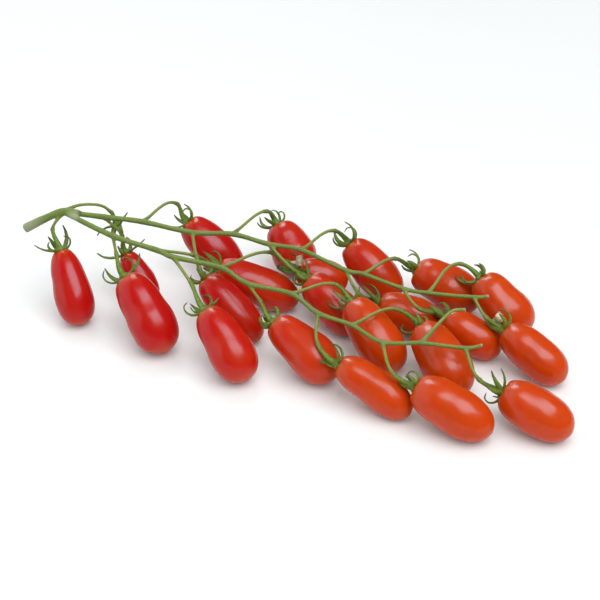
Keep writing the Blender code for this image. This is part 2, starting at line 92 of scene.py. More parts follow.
# Relief of the skin, in shares of a fruit's radius
SKIN_LEVEL = 0.996
LOBE_STRETCH = 1.6
LOBE_SCALE = 0.85
DENT_SCALE = 2.4
CREASE_TURNS = 30.0
LOBE_DEPTH = 0.13
DENT_DEPTH = 0.006
CREASE_DEPTH = 0.04

# Wrinkles, warts and hairs
WRINKLES_PER_METRE = 700.0
COARSE_WARTS_PER_MM = 0.45
FINE_WARTS_PER_MM = 1.5
HAIR_RADIUS = 0.035
HAIR_LEAN = 0.5
SHORTEST_HAIR = 0.35

# Calyx
KNUCKLE_GIRTH = 1.4
PEDICEL_GIRTH = 1.05
NECK_GIRTH = 1.85
DISC_RISE = 1.5
SEPAL_CLEARANCE = 0.75
SEPAL_SINK = 0.5
SEPAL_JOINTS = 5
SEPAL_ROOT = 0.9
SEPAL_CUP = 0.3
CURL_DELAY = 1.3
FOOT = ((1.7, 2.0), (0.9, 2.7), (0.2, 3.3), (-0.5, 3.0), (-1.3, 1.3))
TUBE = ((-1, 0.7), (0, 1.2), (0.8, 1.4), (1.6, 1.4), (2.4, 1.1), (3, 0.7))

# Stalk
CUT_GIRTH = 2.95
FORK_GIRTH = 2.5
ARM_GIRTHS = (1.85, 1.25)
ROOT_GIRTH = 1.45


class Slot(Enum):
    """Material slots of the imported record."""

    SKIN = "tomato_skin"
    CALYX = "green_calyx"
    STALK = "green_stalk"
    PETAL = "dry_petal"


class Tomato(NamedTuple):
    """One row of the fruit table."""

    number: int
    joint: str
    knuckle: tuple
    x: float
    y: float
    heading: float
    pitch: float
    length: float
    width: float
    taper: float
    waist: float
    bend: float
    lift: float = 0.0


FORK = ("fork", (-138, -23, 55))
BACK_ARM = (
    FORK,
    ("back_3", (-117, -14, 52)), ("back_4", (-97, -5, 49)), ("back_6", (-68, 1, 46)),
    ("back_8", (-48, 12, 44)), ("back_10", (-26, 14, 42)), ("back_12", (-8, 19, 40)),
    ("back_14", (21, 15, 37)), ("back_15", (31, 17, 36)), ("back_17", (55, 16, 34)),
    ("back_18", (69, 19, 33)), ("back_19", (93, 26, 33)), ("back_end", (101, 29, 34)),
)
FRONT_ARM = (
    FORK,
    ("front_2", (-102, -29, 52)), ("front_5", (-76, -26, 48)), ("front_7", (-65, -27, 47)),
    ("front_9", (-39, -20, 43)), ("front_11", (-20, -25, 41)), ("front_13", (4, -20, 38)),
    ("front_20", (24, -29, 37)), ("front_16", (44, -29, 35)), ("front_21", (64, -35, 34)),
    ("front_lost", (83, -27, 34)), ("front_22", (105, -20, 33)), ("front_end", (113, -15, 34)),
)
CUT_STALK = ((-160, -30, 42), (-148, -27, 50), (-138, -23, 55), (-128, -21, 55))
FIRST_ROOT = (-138, -24, 54)
LOST_PEDICEL = ((83, -27, 34), (86, -11, 36.5), (89, 1, 38), (93, 5, 38), (95, 7, 37))
BARREN_PEDICEL = ((-138, -22, 55), (-131, -15, 57), (-122, -8, 55), (-117, -5, 50))
BARREN_BASE = (-113.5, -6, 43)

TOMATOES = (
    Tomato(1, "first", (-142, -29, 46), -135, -34, -40, 51, 45, 22.5, 0.22, 0.00, 7),
    Tomato(2, "front_2", (-98, -33, 44), -89.5, -41, -26, 40, 49, 27, 0.14, 0.00, 20),
    Tomato(3, "back_3", (-108, -10, 40), -108, -8, -19, 50, 33, 18, 0.22, 0.00, 0),
    Tomato(4, "back_4", (-93, 29, 43), -88, 29.5, 1, 40, 44, 24.5, 0.10, 0.00, 0),
    Tomato(5, "front_5", (-61, -9, 38), -53.5, 1.5, 18, 24, 51, 23.5, 0.12, 0.00, 0),
    Tomato(6, "back_6", (-59, -11, 39), -52, -16, -12, 35, 47, 22, 0.05, 0.00, 0),
    Tomato(7, "front_7", (-49, -36, 39), -36.5, -46.5, -24, 38, 46, 25.5, 0.16, 0.00, 12),
    Tomato(8, "back_8", (-43, 45, 42), -42, 57, -23, 42, 33.5, 26, 0.14, 0.06, 0),
    Tomato(9, "front_9", (-25, 15, 36), -14, 24, 31, 22, 32, 21, 0.10, 0.00, 0, 4),
    Tomato(10, "back_10", (-9, 9, 33), -2, 13, -14, 30, 42.5, 24, 0.06, 0.00, 10),
    Tomato(11, "front_11", (-11, -28, 34), -1.5, -33, -11, 25, 46.5, 26, 0.18, 0.08, 5),
    Tomato(12, "back_12", (0, 47, 39), 6.5, 53, -12, 35, 43, 24.5, 0.06, 0.00, 0),
    Tomato(13, "front_13", (23, -3, 39), 31.5, -2.5, -25, 32, 47, 26.5, 0.13, 0.00, 0),
    Tomato(14, "back_14", (32, 9, 28), 39, 19, 10, 16, 39, 23, 0.05, 0.00, 0),
    Tomato(15, "back_15", (39, 43, 33), 47, 55, 1, 18, 42.5, 26.5, 0.05, 0.00, 0),
    Tomato(16, "front_16", (59, -4, 34), 72, -0.5, -36, 21, 46.5, 27, 0.08, 0.00, 10),
    Tomato(17, "back_17", (67, 10, 28), 78.5, 20.5, -3, 22, 36.5, 21.5, 0.05, 0.00, 0),
    Tomato(18, "back_18", (76, 51, 35), 87.5, 51, -15, 35, 41, 27, 0.12, 0.09, 0),
    Tomato(19, "back_19", (103, 19, 27), 113, 20, -15, 20, 43, 23.5, 0.06, 0.00, 6),
    Tomato(20, "front_20", (30, -42, 27), 43.5, -47, -7, 20, 47, 21.5, 0.05, 0.06, 22),
    Tomato(21, "front_21", (76, -48, 26), 87, -47, -5, 16, 47, 26, 0.02, 0.00, 8),
    Tomato(22, "front_22", (117, -31, 24), 129, -29, -7, 14, 42, 25.5, 0.00, 0.00, 8),
)


class Sepal(NamedTuple):
    """One blade of a calyx: direction round it, length, rise at its root, curl and sway."""

    around: float
    length: float
    rise: float
    curl: float
    sway: float

    def tilt(self, share: float) -> float:
        """How far the blade has turned outwards a share of the way along it, in radians."""
        return math.radians(self.rise + self.curl * share**CURL_DELAY)


SEPALS = {
    1: ((65, 17, 5, 50, 0), (100, 10, 5, 170, 0), (190, 12, 35, 150, 4),
        (225, 20, 15, 115, 0), (290, 13, 0, 210, 3)),
    2: ((115, 17, 0, 185, -3), (180, 20, 0, 135, 0), (210, 12, 5, 130, -1),
        (260, 19, 0, 60, -1), (305, 17, 0, 230, 6)),
    3: ((120, 17, 0, 85, 0), (50, 9, 10, 100, 0), (190, 8, 15, 90, 0),
        (260, 12, 10, 140, 0), (335, 15, 0, 20, 0)),
    4: ((100, 10, 0, 70, 0), (200, 11, 20, 125, 0), (245, 8, 10, 115, 0),
        (315, 13, 0, 240, 3), (0, 15, 0, 140, -1)),
    5: ((35, 10, 10, 120, 0), (130, 11, 0, 160, 2), (200, 10, 20, 100, 0),
        (250, 15, 20, 120, -3), (320, 12, 0, 150, 0)),
    6: ((40, 11, 0, 120, 0), (120, 12, 0, 200, -4), (180, 18, 0, 80, -5),
        (245, 14, 0, 75, -2), (310, 12, 0, 150, 3)),
    7: ((100, 17, 0, 220, -3), (150, 9, 10, 120, 0), (205, 16, 0, 110, 3),
        (245, 18, 0, 20, 0), (290, 13, 0, 190, 5)),
    8: ((75, 9, 30, 50, 0), (120, 13, 0, 115, -3), (155, 18, 0, 130, -6),
        (265, 12, 30, 165, 0), (320, 12, 0, 240, 5)),
    9: ((90, 13, 10, 0, 0), (180, 11, 60, 110, 3), (220, 18, 30, 210, 0),
        (270, 10, 30, 60, 0), (330, 11, 0, 120, 0)),
    10: ((60, 11, 20, 180, 0), (130, 12, 0, 200, 0), (200, 9, 0, 120, 0),
         (250, 11, 30, 200, 0), (310, 12, 45, 30, 0)),
    11: ((100, 13, 20, 240, 0), (140, 10, 0, 180, -3), (200, 9, 20, 150, 0),
         (290, 12, 0, 230, 2), (340, 10, 0, 180, 5)),
    12: ((85, 17, 8, 175, 4), (125, 12, 20, 135, 0), (230, 10, 20, 120, 0),
         (315, 16, 0, 260, -5), (355, 18, 0, 140, -3)),
    13: ((120, 9, 0, 230, -5), (160, 18, 0, 115, 0), (195, 16, 42, 60, 2),
         (265, 12, 10, 60, 0), (330, 11, 0, 150, 0)),
    14: ((35, 18, 40, 10, 2), (120, 10, 0, 120, 0), (180, 9, 20, 120, 0),
         (250, 11, 0, 60, 0), (300, 14, 20, 100, 0)),
    15: ((30, 10, 0, 150, 0), (145, 9, 55, 90, -1), (215, 15, 0, 0, 0),
         (285, 16, 0, 130, 0), (320, 14, 0, 200, 5)),
    16: ((10, 10, 0, 140, 0), (110, 16, 0, 200, -5), (170, 18, 10, 95, 1),
         (245, 9, 30, 130, 0), (295, 11, 0, 210, 3)),
    17: ((0, 10, 0, 120, 0), (50, 17, 35, 230, 0), (160, 10, 60, 110, -2),
         (230, 8, 38, 100, 0), (300, 14, 0, 200, 5)),
    18: ((0, 11, 0, 140, 0), (115, 14, 0, 200, -3), (155, 16, 10, 110, 0),
         (240, 10, 0, 65, 0), (275, 13, 5, 170, 3)),
    19: ((10, 12, 0, 110, 0), (105, 13, 65, 80, -2), (170, 11, 60, 60, 0),
         (230, 10, 30, 60, 0), (295, 17, 0, 175, 0)),
    20: ((10, 15, 15, 35, 0), (140, 12, 58, 140, -4), (190, 8, 68, 60, 0),
         (240, 11, 62, 120, 4), (300, 16, 0, 165, 3)),
    21: ((20, 11, 0, 120, 0), (120, 12, 68, 120, -3), (190, 8, 60, 60, 0),
         (250, 10, 30, 60, 0), (315, 14, 0, 230, 5)),
    22: ((20, 17, 35, -15, 0), (60, 11, 25, 135, 0), (130, 15, 0, 225, -5),
         (200, 13, 0, 60, -2), (345, 13, 5, 65, 0)),
}
BARREN_SEPALS = (
    (295, 13, 10, -60, 0), (115, 9, 25, 20, 0), (0, 13, -25, -80, 0),
    (50, 8, -20, -40, 0), (205, 9, 0, 60, 0),
)
PETALS = ((0, 5, 35, 40, 1), (80, 4.5, 50, 60, -1), (170, 5, 30, 70, 1), (265, 5, 25, 50, -1))
FLOWERS = (
    ("dried_flower_10", (-9, 19.5, 30), (-0.5, 0.6, 0.6)),
    ("dried_flower_19", (110, 24, 23.5), (-0.85, 0.1, 0.5)),
)


# Node trees


class Field:
    """A number that varies over a surface or a mesh; arithmetic on it adds Math nodes."""

    def __init__(self, graph: Graph, socket: bpy.types.NodeSocket) -> None:
        """Wrap a socket of a graph."""
        self.graph = graph
        self.socket = socket

    def __add__(self, other: Field | float) -> Field:
        """Sum."""
        return self.graph.math("ADD", self, other)

    def __sub__(self, other: Field | float) -> Field:
        """Difference."""
        return self.graph.math("SUBTRACT", self, other)

    def __mul__(self, other: Field | float) -> Field:
        """Product."""
        return self.graph.math("MULTIPLY", self, other)

    def __truediv__(self, other: Field | float) -> Field:
        """Quotient."""
        return self.graph.math("DIVIDE", self, other)

    def __pow__(self, other: Field | float) -> Field:
        """Power."""
        return self.graph.math("POWER", self, other)

    def __radd__(self, other: float) -> Field:
        """Sum with a plain number first."""
        return self.graph.math("ADD", other, self)

    def __rsub__(self, other: float) -> Field:
        """Difference from a plain number."""
        return self.graph.math("SUBTRACT", other, self)

    def __rmul__(self, other: float) -> Field:
        """Product with a plain number first."""
        return self.graph.math("MULTIPLY", other, self)

    def __rtruediv__(self, other: float) -> Field:
        """Quotient of a plain number by it."""
        return self.graph.math("DIVIDE", other, self)

    def __rpow__(self, other: float) -> Field:
        """A plain number to its power."""
        return self.graph.math("POWER", other, self)

    def __neg__(self) -> Field:
        """The number with its sign turned."""
        return self.graph.math("MULTIPLY", self, -1.0)

    def clamped(self) -> Field:
        """The number held between 0 and 1."""
        return self.graph.math("MAXIMUM", self.graph.math("MINIMUM", self, 1.0), 0.0)

    def hump(self, spread: float) -> Field:
        """A bell over zero: 1 there and falling off within the spread."""
        return self.graph.math("EXPONENT", -((self / spread) ** 2.0))


class Arrow:
    """A vector that varies over a surface or a mesh; arithmetic on it adds Vector Math nodes."""

    def __init__(self, graph: Graph, socket: bpy.types.NodeSocket) -> None:
        """Wrap a vector socket of a graph."""
        self.graph = graph
        self.socket = socket

    def __add__(self, other: Arrow | tuple) -> Arrow:
        """Sum."""
        return self.graph.vector_math("ADD", self, other)

    def __sub__(self, other: Arrow | tuple) -> Arrow:
        """Difference."""
        return self.graph.vector_math("SUBTRACT", self, other)

    def __mul__(self, other: Field | float) -> Arrow:
        """The arrow made longer by a number.

        Args:
            other: the number.

        Returns:
            The longer arrow.
        """
        made = self.graph.node(
            "ShaderNodeVectorMath", {"operation": "SCALE"}, {0: self, "Scale": other}
        )
        return Arrow(self.graph, made.outputs[0])

    def cross(self, other: Arrow) -> Arrow:
        """The arrow square to both."""
        return self.graph.vector_math("CROSS_PRODUCT", self, other)

    def parts(self) -> tuple[Field, Field, Field]:
        """Its x, y and z."""
        made = self.graph.node("ShaderNodeSeparateXYZ", inputs={0: self})
        return tuple(Field(self.graph, socket) for socket in made.outputs)


Operand = Field | Arrow | bpy.types.NodeSocket | float | tuple | str | bpy.types.Material


class Graph:
    """A node tree while it is built."""

    def __init__(self, tree: bpy.types.NodeTree) -> None:
        """Start on an empty or a fresh tree."""
        self.tree = tree

    def node(
        self,
        kind: str,
        settings: dict | None = None,
        inputs: dict[int | str, Operand] | None = None,
    ) -> bpy.types.Node:
        """Add any node.

        Args:
            kind: Blender's name of the node type.
            settings: its properties, set first.
            inputs: values or links, by place, identifier or name of the socket.

        Returns:
            The node.
        """
        made = self.tree.nodes.new(kind)
        for name, value in (settings or {}).items():
            setattr(made, name, value)
        for key, value in (inputs or {}).items():
            self.feed(self.entry_of(made, key), value)
        return made

    @staticmethod
    def entry_of(made: bpy.types.Node, key: int | str) -> bpy.types.NodeSocket:
        """The input socket with this place, identifier or name.

        Args:
            made: the node.
            key: the socket's place, identifier or name.

        Returns:
            The socket.
        """
        if isinstance(key, int):
            return made.inputs[key]
        for socket in made.inputs:
            if socket.identifier == key:
                return socket
        return made.inputs[key]

    @staticmethod
    def exit_of(made: bpy.types.Node, identifier: str) -> bpy.types.NodeSocket:
        """The output socket with this identifier."""
        return next(socket for socket in made.outputs if socket.identifier == identifier)

    def feed(self, socket: bpy.types.NodeSocket, value: Operand) -> None:
        """Link a socket to a field, an arrow or another socket, or set its value.

        Args:
            socket: the input.
            value: what it gets.
        """
        if isinstance(value, (Field, Arrow)):
            value = value.socket
        if isinstance(value, bpy.types.NodeSocket):
            self.tree.links.new(value, socket)
        elif socket.type == "RGBA" and len(value) == 3:
            socket.default_value = (*value, 1.0)
        else:
            socket.default_value = value

    def math(self, operation: str, *values: Field | float) -> Field:
        """One Math node on the values."""
        made = self.node("ShaderNodeMath", {"operation": operation}, dict(enumerate(values)))
        return Field(self, made.outputs[0])

    def vector_math(self, operation: str, *values: Arrow | tuple) -> Arrow:
        """One Vector Math node on the values."""
        made = self.node("ShaderNodeVectorMath", {"operation": operation}, dict(enumerate(values)))
        return Arrow(self, made.outputs[0])

    def arrow(self, x: Field | float, y: Field | float, z: Field | float) -> Arrow:
        """Three numbers as one vector."""
        return Arrow(self, self.node("ShaderNodeCombineXYZ", inputs={0: x, 1: y, 2: z}).outputs[0])

    def noise(
        self, place: Arrow, scale: Field | float, detail: float = 2.0, roughness: float = 0.5
    ) -> Field:
        """Soft noise around zero, about -0.5 to 0.5.

        Args:
            place: where it is read.
            scale: how many lumps fit into one unit of place.
            detail: finer layers on top.
            roughness: how strong the finer layers are.

        Returns:
            The noise.
        """
        made = self.node(
            "ShaderNodeTexNoise",
            {"noise_dimensions": "3D"},
            {"Vector": place, "Scale": scale, "Detail": detail, "Roughness": roughness},
        )
        return Field(self, made.outputs["Fac"]) - 0.5


class Surface(Graph):
    """A material while it is built: a graph that ends in a Principled shader."""

    def __init__(self, name: str) -> None:
        """Start a material of this name.

        Args:
            name: the material's name.
        """
        self.material = bpy.data.materials.new(name)
        self.material.use_nodes = True
        super().__init__(self.material.node_tree)
        self.shader = self.tree.nodes["Principled BSDF"]

    def attribute(self, name: str) -> Field:
        """A number stored on the mesh."""
        made = self.node("ShaderNodeAttribute", {"attribute_name": name})
        return Field(self, made.outputs["Fac"])

    def attribute_arrow(self, name: str) -> Arrow:
        """A vector stored on the mesh."""
        made = self.node("ShaderNodeAttribute", {"attribute_name": name})
        return Arrow(self, made.outputs["Vector"])

    def place(self) -> Arrow:
        """Object coordinates in millimetres."""
        made = self.node("ShaderNodeTexCoord")
        return Arrow(self, made.outputs["Object"]) * (1 / MM)

    def mix(self, share: Field | float, start: Operand, end: Operand) -> bpy.types.NodeSocket:
        """A colour between two colours.

        Args:
            share: how far it is towards the second colour, 0 to 1.
            start: the first colour.
            end: the second colour.

        Returns:
            The colour's socket.
        """
        made = self.node(
            "ShaderNodeMix",
            {"data_type": "RGBA", "clamp_factor": True},
            {"Factor_Float": share, "A_Color": start, "B_Color": end},
        )
        return self.exit_of(made, "Result_Color")

    def bump(self, height: Field, depth: float) -> bpy.types.NodeSocket:
        """A normal from a height whose unit is this many millimetres deep."""
        made = self.node("ShaderNodeBump", None, {"Distance": depth * MM, "Height": height})
        return made.outputs["Normal"]

    def finish(
        self, varying: dict[str, Operand], constant: dict[str, Operand]
    ) -> bpy.types.Material:
        """Feed the shader and hand over the material.

        Args:
            varying: what changes over the surface.
            constant: what is the same everywhere.

        Returns:
            The material.
        """
        for name, value in {**varying, **constant}.items():
            self.feed(self.shader.inputs[name], value)
        return self.material


class Rule(Graph):
    """A Geometry Nodes tree with named inputs, which shapes a mesh."""

    KINDS = {
        "mesh": "NodeSocketGeometry",
        "count": "NodeSocketInt",
        "number": "NodeSocketFloat",
        "vector": "NodeSocketVector",
        "finish": "NodeSocketMaterial",
    }

    def __init__(self, name: str, sizes: dict[str, str]) -> None:
        """Start a tree.

        Args:
            name: its name.
            sizes: its inputs beside the mesh, each with its kind.
        """
        super().__init__(bpy.data.node_groups.new(name, "GeometryNodeTree"))
        self.keys = {}
        for label, kind in {"Geometry": "mesh", **sizes, "Finish": "finish"}.items():
            self.keys[label] = self.socket(label, "INPUT", kind).identifier
        self.socket("Geometry", "OUTPUT", "mesh")
        self.entry = self.node("NodeGroupInput")
        self.end = self.node("NodeGroupOutput")

    def socket(self, label: str, way: str, kind: str) -> bpy.types.NodeTreeInterfaceSocket:
        """Add an input or an output of the tree."""
        kind = self.KINDS[kind]
        return self.tree.interface.new_socket(label, in_out=way, socket_type=kind)

    def size(self, label: str) -> Field:
        """A number given to the tree."""
        return Field(self, self.entry.outputs[label])

    def direction(self, label: str) -> Arrow:
        """A vector given to the tree."""
        return Arrow(self, self.entry.outputs[label])

    def stored(self, name: str) -> Field:
        """A number stored on the mesh."""
        made = self.node("GeometryNodeInputNamedAttribute", {"data_type": "FLOAT"}, {"Name": name})
        return Field(self, made.outputs["Attribute"])

    def stored_arrow(self, name: str) -> Arrow:
        """A vector stored on the mesh.

        Args:
            name: the attribute's name.

        Returns:
            The vector.
        """
        kind = {"data_type": "FLOAT_VECTOR"}
        made = self.node("GeometryNodeInputNamedAttribute", kind, {"Name": name})
        return Arrow(self, made.outputs["Attribute"])

    def place(self) -> Arrow:
        """Where each point is."""
        return Arrow(self, self.node("GeometryNodeInputPosition").outputs[0])

    def normal(self) -> Arrow:
        """Which way the surface faces at each point."""
        return Arrow(self, self.node("GeometryNodeInputNormal").outputs[0])

    def store(
        self, mesh: bpy.types.NodeSocket, name: str, value: Field | Arrow
    ) -> bpy.types.NodeSocket:
        """Keep a value on the mesh's points.

        Args:
            mesh: the geometry.
            name: the attribute's name.
            value: a number or a vector.

        Returns:
            The geometry with the attribute.
        """
        kind = "FLOAT_VECTOR" if isinstance(value, Arrow) else "FLOAT"
        made = self.node(
            "GeometryNodeStoreNamedAttribute",
            {"data_type": kind, "domain": "POINT"},
            {"Geometry": mesh, "Name": name, "Value": value},
        )
        return made.outputs["Geometry"]

    def move(self, mesh: bpy.types.NodeSocket, places: Arrow) -> bpy.types.NodeSocket:
        """Put the points of a mesh at these places."""
        made = self.node("GeometryNodeSetPosition", None, {"Geometry": mesh, "Position": places})
        return made.outputs["Geometry"]

    def close(self, mesh: bpy.types.NodeSocket) -> Rule:
        """End the tree: smooth shading, real instances and the finish.

        Args:
            mesh: the shaped geometry.

        Returns:
            The finished tree.
        """
        smooth = self.node("GeometryNodeSetShadeSmooth", None, {"Geometry": mesh})
        real = self.node("GeometryNodeRealizeInstances", None, {"Geometry": smooth.outputs[0]})
        dressed = self.node(
            "GeometryNodeSetMaterial",
            None,
            {"Geometry": real.outputs[0], "Material": self.entry.outputs["Finish"]},
        )
        self.feed(self.end.inputs[0], dressed.outputs[0])
        return self

    def attach(self, piece: bpy.types.Object, sizes: dict, finish: bpy.types.Material) -> None:
        """Put the tree on a piece as a modifier, with its sizes.

        Args:
            piece: what it shapes.
            sizes: the tree's inputs by name.
            finish: the piece's material.
        """
        shaper = piece.modifiers.new(self.tree.name, "NODES")
        shaper.node_group = self.tree
        for label, value in {**sizes, "Finish": finish}.items():
            shaper[self.keys[label]] = value

    def shape(
        self, name: str, source: bpy.types.Mesh, sizes: dict, finish: bpy.types.Material
    ) -> bpy.types.Object:
        """Shape a mesh by the tree into a plain piece.

        Args:
            name: the piece's name.
            source: the mesh that goes in.
            sizes: the tree's inputs by name.
            finish: the piece's material.

        Returns:
            The piece, with no modifier left on it.
        """
        piece = linked(name, source)
        self.attach(piece, sizes, finish)
        return made_plain(piece)


# Pieces and paths


def linked(name: str, data: bpy.types.ID) -> bpy.types.Object:
    """Put a mesh, a light or a camera into the scene as an object at the origin.

    Args:
        name: the piece's name.
        data: its mesh, light or camera.

    Returns:
        The piece.
    """
    piece = bpy.data.objects.new(name, data)
    bpy.context.scene.collection.objects.link(piece)
    return piece


def made_plain(piece: bpy.types.Object) -> bpy.types.Object:
    """Turn what a piece's modifiers make into its own mesh.

    Args:
        piece: one with modifiers.

    Returns:
        The same piece, with no modifier left on it.
    """
    graph = bpy.context.evaluated_depsgraph_get()
    shown = piece.evaluated_get(graph)
    plain = bpy.data.meshes.new_from_object(shown, preserve_all_data_layers=True, depsgraph=graph)
    piece.modifiers.clear()
    piece.data = plain
    plain.name = piece.name
    return piece


def hand_over(piece: bpy.types.Object, slot: Slot, *nodes: str) -> None:
    """Let a finished piece ride on the truss and stand for its nodes.

    Args:
        piece: the finished piece.
        slot: its material slot, not used.
        nodes: the nodes that it stands for, if any.
    """
    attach(piece, BODY)
    if nodes:
        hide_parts(*nodes)
    piece.data.calc_loop_triangles()
    LOG.info("%s: %d triangles", piece.name, len(piece.data.loop_triangles))


def placed(point: Vector) -> Vector:
    """A point of the tables in the frame's metres."""
    return (point - MIDDLE) * MM


def through(points: list[Vector], steps: int) -> list[Vector]:
    """Points along a smooth curve through the given ones.

    Args:
        points: what the curve passes.
        steps: how many steps lie between two of them.

    Returns:
        The curve's points, ends included.
    """
    padded = [points[0] * 2 - points[1], *points, points[-1] * 2 - points[-2]]
    path = []
    for before, start, end, after in zip(padded, padded[1:], padded[2:], padded[3:]):
        for step in range(steps):
            t = step / steps
            path.append(
                0.5
                * (
                    start * 2
                    + (end - before) * t
                    + (before * 2 - start * 5 + end * 4 - after) * t**2
                    + (start * 3 - before - end * 3 + after) * t**3
                )
            )
    return [*path, points[-1].copy()]


def bezier(start: Vector, leave: Vector, arrive: Vector, end: Vector, steps: int) -> list[Vector]:
    """Points along one cubic curve; leave and arrive are its two handles.

    Args:
        start: the first point.
        leave: the handle of the first point.
        arrive: the handle of the last point.
        end: the last point.
        steps: how many steps the path has.

    Returns:
        The curve's points, ends included.
    """
    path = []
    for step in range(steps + 1):
        t = step / steps
        u = 1 - t
        path.append(start * u**3 + leave * (3 * u * u * t) + arrive * (3 * u * t * t) + end * t**3)
    return path


class Station(NamedTuple):
    """A cross-section of a strand: where it is, its two directions, half sizes and marks."""

    centre: Vector
    across: Vector
    face: Vector
    wide: float
    thick: float
    cup: float = 0.0
    tip: float = 0.0
    ring: float = 0.0


def round_strand(
    path: list[Vector], girths: list[float], rings: list[float] | None = None
) -> list[Station]:
    """Stations of a round stem whose directions are carried along without twist.

    Args:
        path: its centre line.
        girths: its radius at each point of the path.
        rings: how corky it is at each point, 0 to 1.

    Returns:
        The stations.
    """
    stations = []
    across = None
    for index, centre in enumerate(path):
        along = (path[min(index + 1, len(path) - 1)] - path[max(index - 1, 0)]).normalized()
        if across is None:
            across = along.orthogonal()
        across = (across - along * across.dot(along)).normalized()
        girth = girths[index]
        ring = rings[index] if rings else 0.0
        stations.append(Station(centre, across, along.cross(across), girth, girth, ring=ring))
    return stations


def keep(mesh: bpy.types.Mesh, key: str, values: list | np.ndarray) -> None:
    """Store a number or a vector for each point of a mesh.

    Args:
        mesh: the mesh.
        key: the attribute's name.
        values: one number or one vector for each point.
    """
    values = np.array(values, dtype=float)
    kind, part = ("FLOAT_VECTOR", "vector") if values.ndim == 2 else ("FLOAT", "value")
    mesh.attributes.new(key, kind, "POINT").data.foreach_set(part, values.ravel())


def strands_mesh(name: str, strands: list[list[Station]]) -> bpy.types.Mesh:
    """A mesh of open strands whose points carry their cross-sections.

    Args:
        name: the mesh's name.
        strands: the stations of each strand, in millimetres.

    Returns:
        The mesh, in metres.
    """
    stations = [station for strand in strands for station in strand]
    edges = []
    first = 0
    for strand in strands:
        edges += [(first + step, first + step + 1) for step in range(len(strand) - 1)]
        first += len(strand)
    mesh = bpy.data.meshes.new(name)
    mesh.from_pydata([placed(station.centre) for station in stations], edges, [])
    for key in ("across", "face"):
        keep(mesh, key, [getattr(station, key) for station in stations])
    for key, unit in (("wide", MM), ("thick", MM), ("cup", MM), ("tip", 1), ("ring", 1)):
        keep(mesh, key, [getattr(station, key) * unit for station in stations])
    return mesh


def nearness(places: np.ndarray, spots: list[tuple[Vector, float, float]]) -> np.ndarray:
    """How near points are to the nearest of some spots.

    Args:
        places: the points, in metres.
        spots: the centre of each, how far it reaches and how strong it is, in millimetres.

    Returns:
        A number for each point, the spot's strength in its middle and 0 far from all.
    """
    found = np.zeros(len(places))
    for centre, reach, strength in spots:
        gap = np.linalg.norm(places - np.array(placed(centre)), axis=1) / MM
        found = np.maximum(found, strength * np.exp(-((gap / reach) ** 4)))
    return found


def bell(offset: float, spread: float) -> float:
    """1 at no offset, falling off within the spread."""
    return math.exp(-((offset / spread) ** 2))


def blend(start: float, end: float, share: float) -> float:
    """The value a share of the way from start to end."""
    return start + (end - start) * share


# Finishes


@dataclass(frozen=True)
class RipeSkin:
    """Waxy tomato skin: deep red at the cut end of the truss and more orange at the tips, with
    painted shade on each fruit's lower side.
    """

    deep: tuple = (0.500, 0.007, 0.003)
    bright: tuple = (0.540, 0.043, 0.000)
    shoulder: tuple = (0.480, 0.085, 0.003)
    shade: tuple = (0.390, 0.001, 0.006)
    under: tuple = (0.400, 0.002, 0.002)
    amber: tuple = (0.540, 0.125, 0.002)
    gleam: tuple = (0.12, 0.88, 1.0)
    truss_start: float = -60.0
    truss_end: float = 60.0
    streaks_per_mm: float = 0.9
    streak_stretch: float = 0.12
    blotches_per_mm: float = 0.09
    pores_per_mm: float = 3.2
    ripples_per_mm: float = 0.55
    relief: float = 0.05
    roughness: float = 0.23
    glow_depth: float = 2.5

    def build(self) -> bpy.types.Material:
        """Make the material.

        Returns:
            The material.
        """
        surface = Surface("ripe_skin")
        skin = surface.attribute_arrow("skin")
        along = surface.attribute("along")
        ripeness = surface.attribute("ripeness")
        x, _, _ = surface.place().parts()
        span = self.truss_end - self.truss_start
        orange = ((x - self.truss_start) / span + ripeness).clamped()
        station, across, above = skin.parts()
        stretched = surface.arrow(station * self.streak_stretch, across, above)
        streaks = surface.noise(stretched, self.streaks_per_mm, 3.0, 0.6)
        blotches = surface.noise(skin, self.blotches_per_mm, 2.0)
        colour = surface.mix(orange + blotches * 0.9, self.deep, self.bright)
        colour = surface.mix((blotches * 1.4 + streaks * 0.5).clamped(), colour, self.shade)
        # Painted shade: the lower side of each fruit is mixed toward a deeper red, less so on
        # orange fruits.
        low = (0.2 - above * 0.06).clamped()
        colour = surface.mix(low * (0.65 - orange * 0.5), colour, self.under)
        colour = surface.mix((low * orange + blotches * 1.5).clamped() * 0.15, colour, self.amber)
        crown = (along.hump(0.075) * 0.75 + streaks * along.hump(0.2) * 1.2).clamped()
        colour = surface.mix(crown, colour, self.shoulder)
        blossom = (1.0 - along).hump(0.05) * 0.35
        colour = surface.mix(blossom, colour, self.shoulder)
        pores = surface.noise(skin, self.pores_per_mm, 3.0, 0.65)
        ripples = surface.noise(skin, self.ripples_per_mm, 2.0)
        height = pores * 0.25 + ripples + streaks * 0.35
        return surface.finish(
            {
                "Base Color": colour,
                "Roughness": self.roughness + pores * 0.06 + streaks * 0.05,
                "Normal": surface.bump(height, self.relief),
            },
            {
                "IOR": 1.45,
                "Specular IOR Level": 0.36,
                "Specular Tint": self.gleam,
                "Subsurface Weight": 0.3,
                "Subsurface Radius": (1.0, 0.2, 0.1),
                "Subsurface Scale": self.glow_depth * MM,
            },
        )


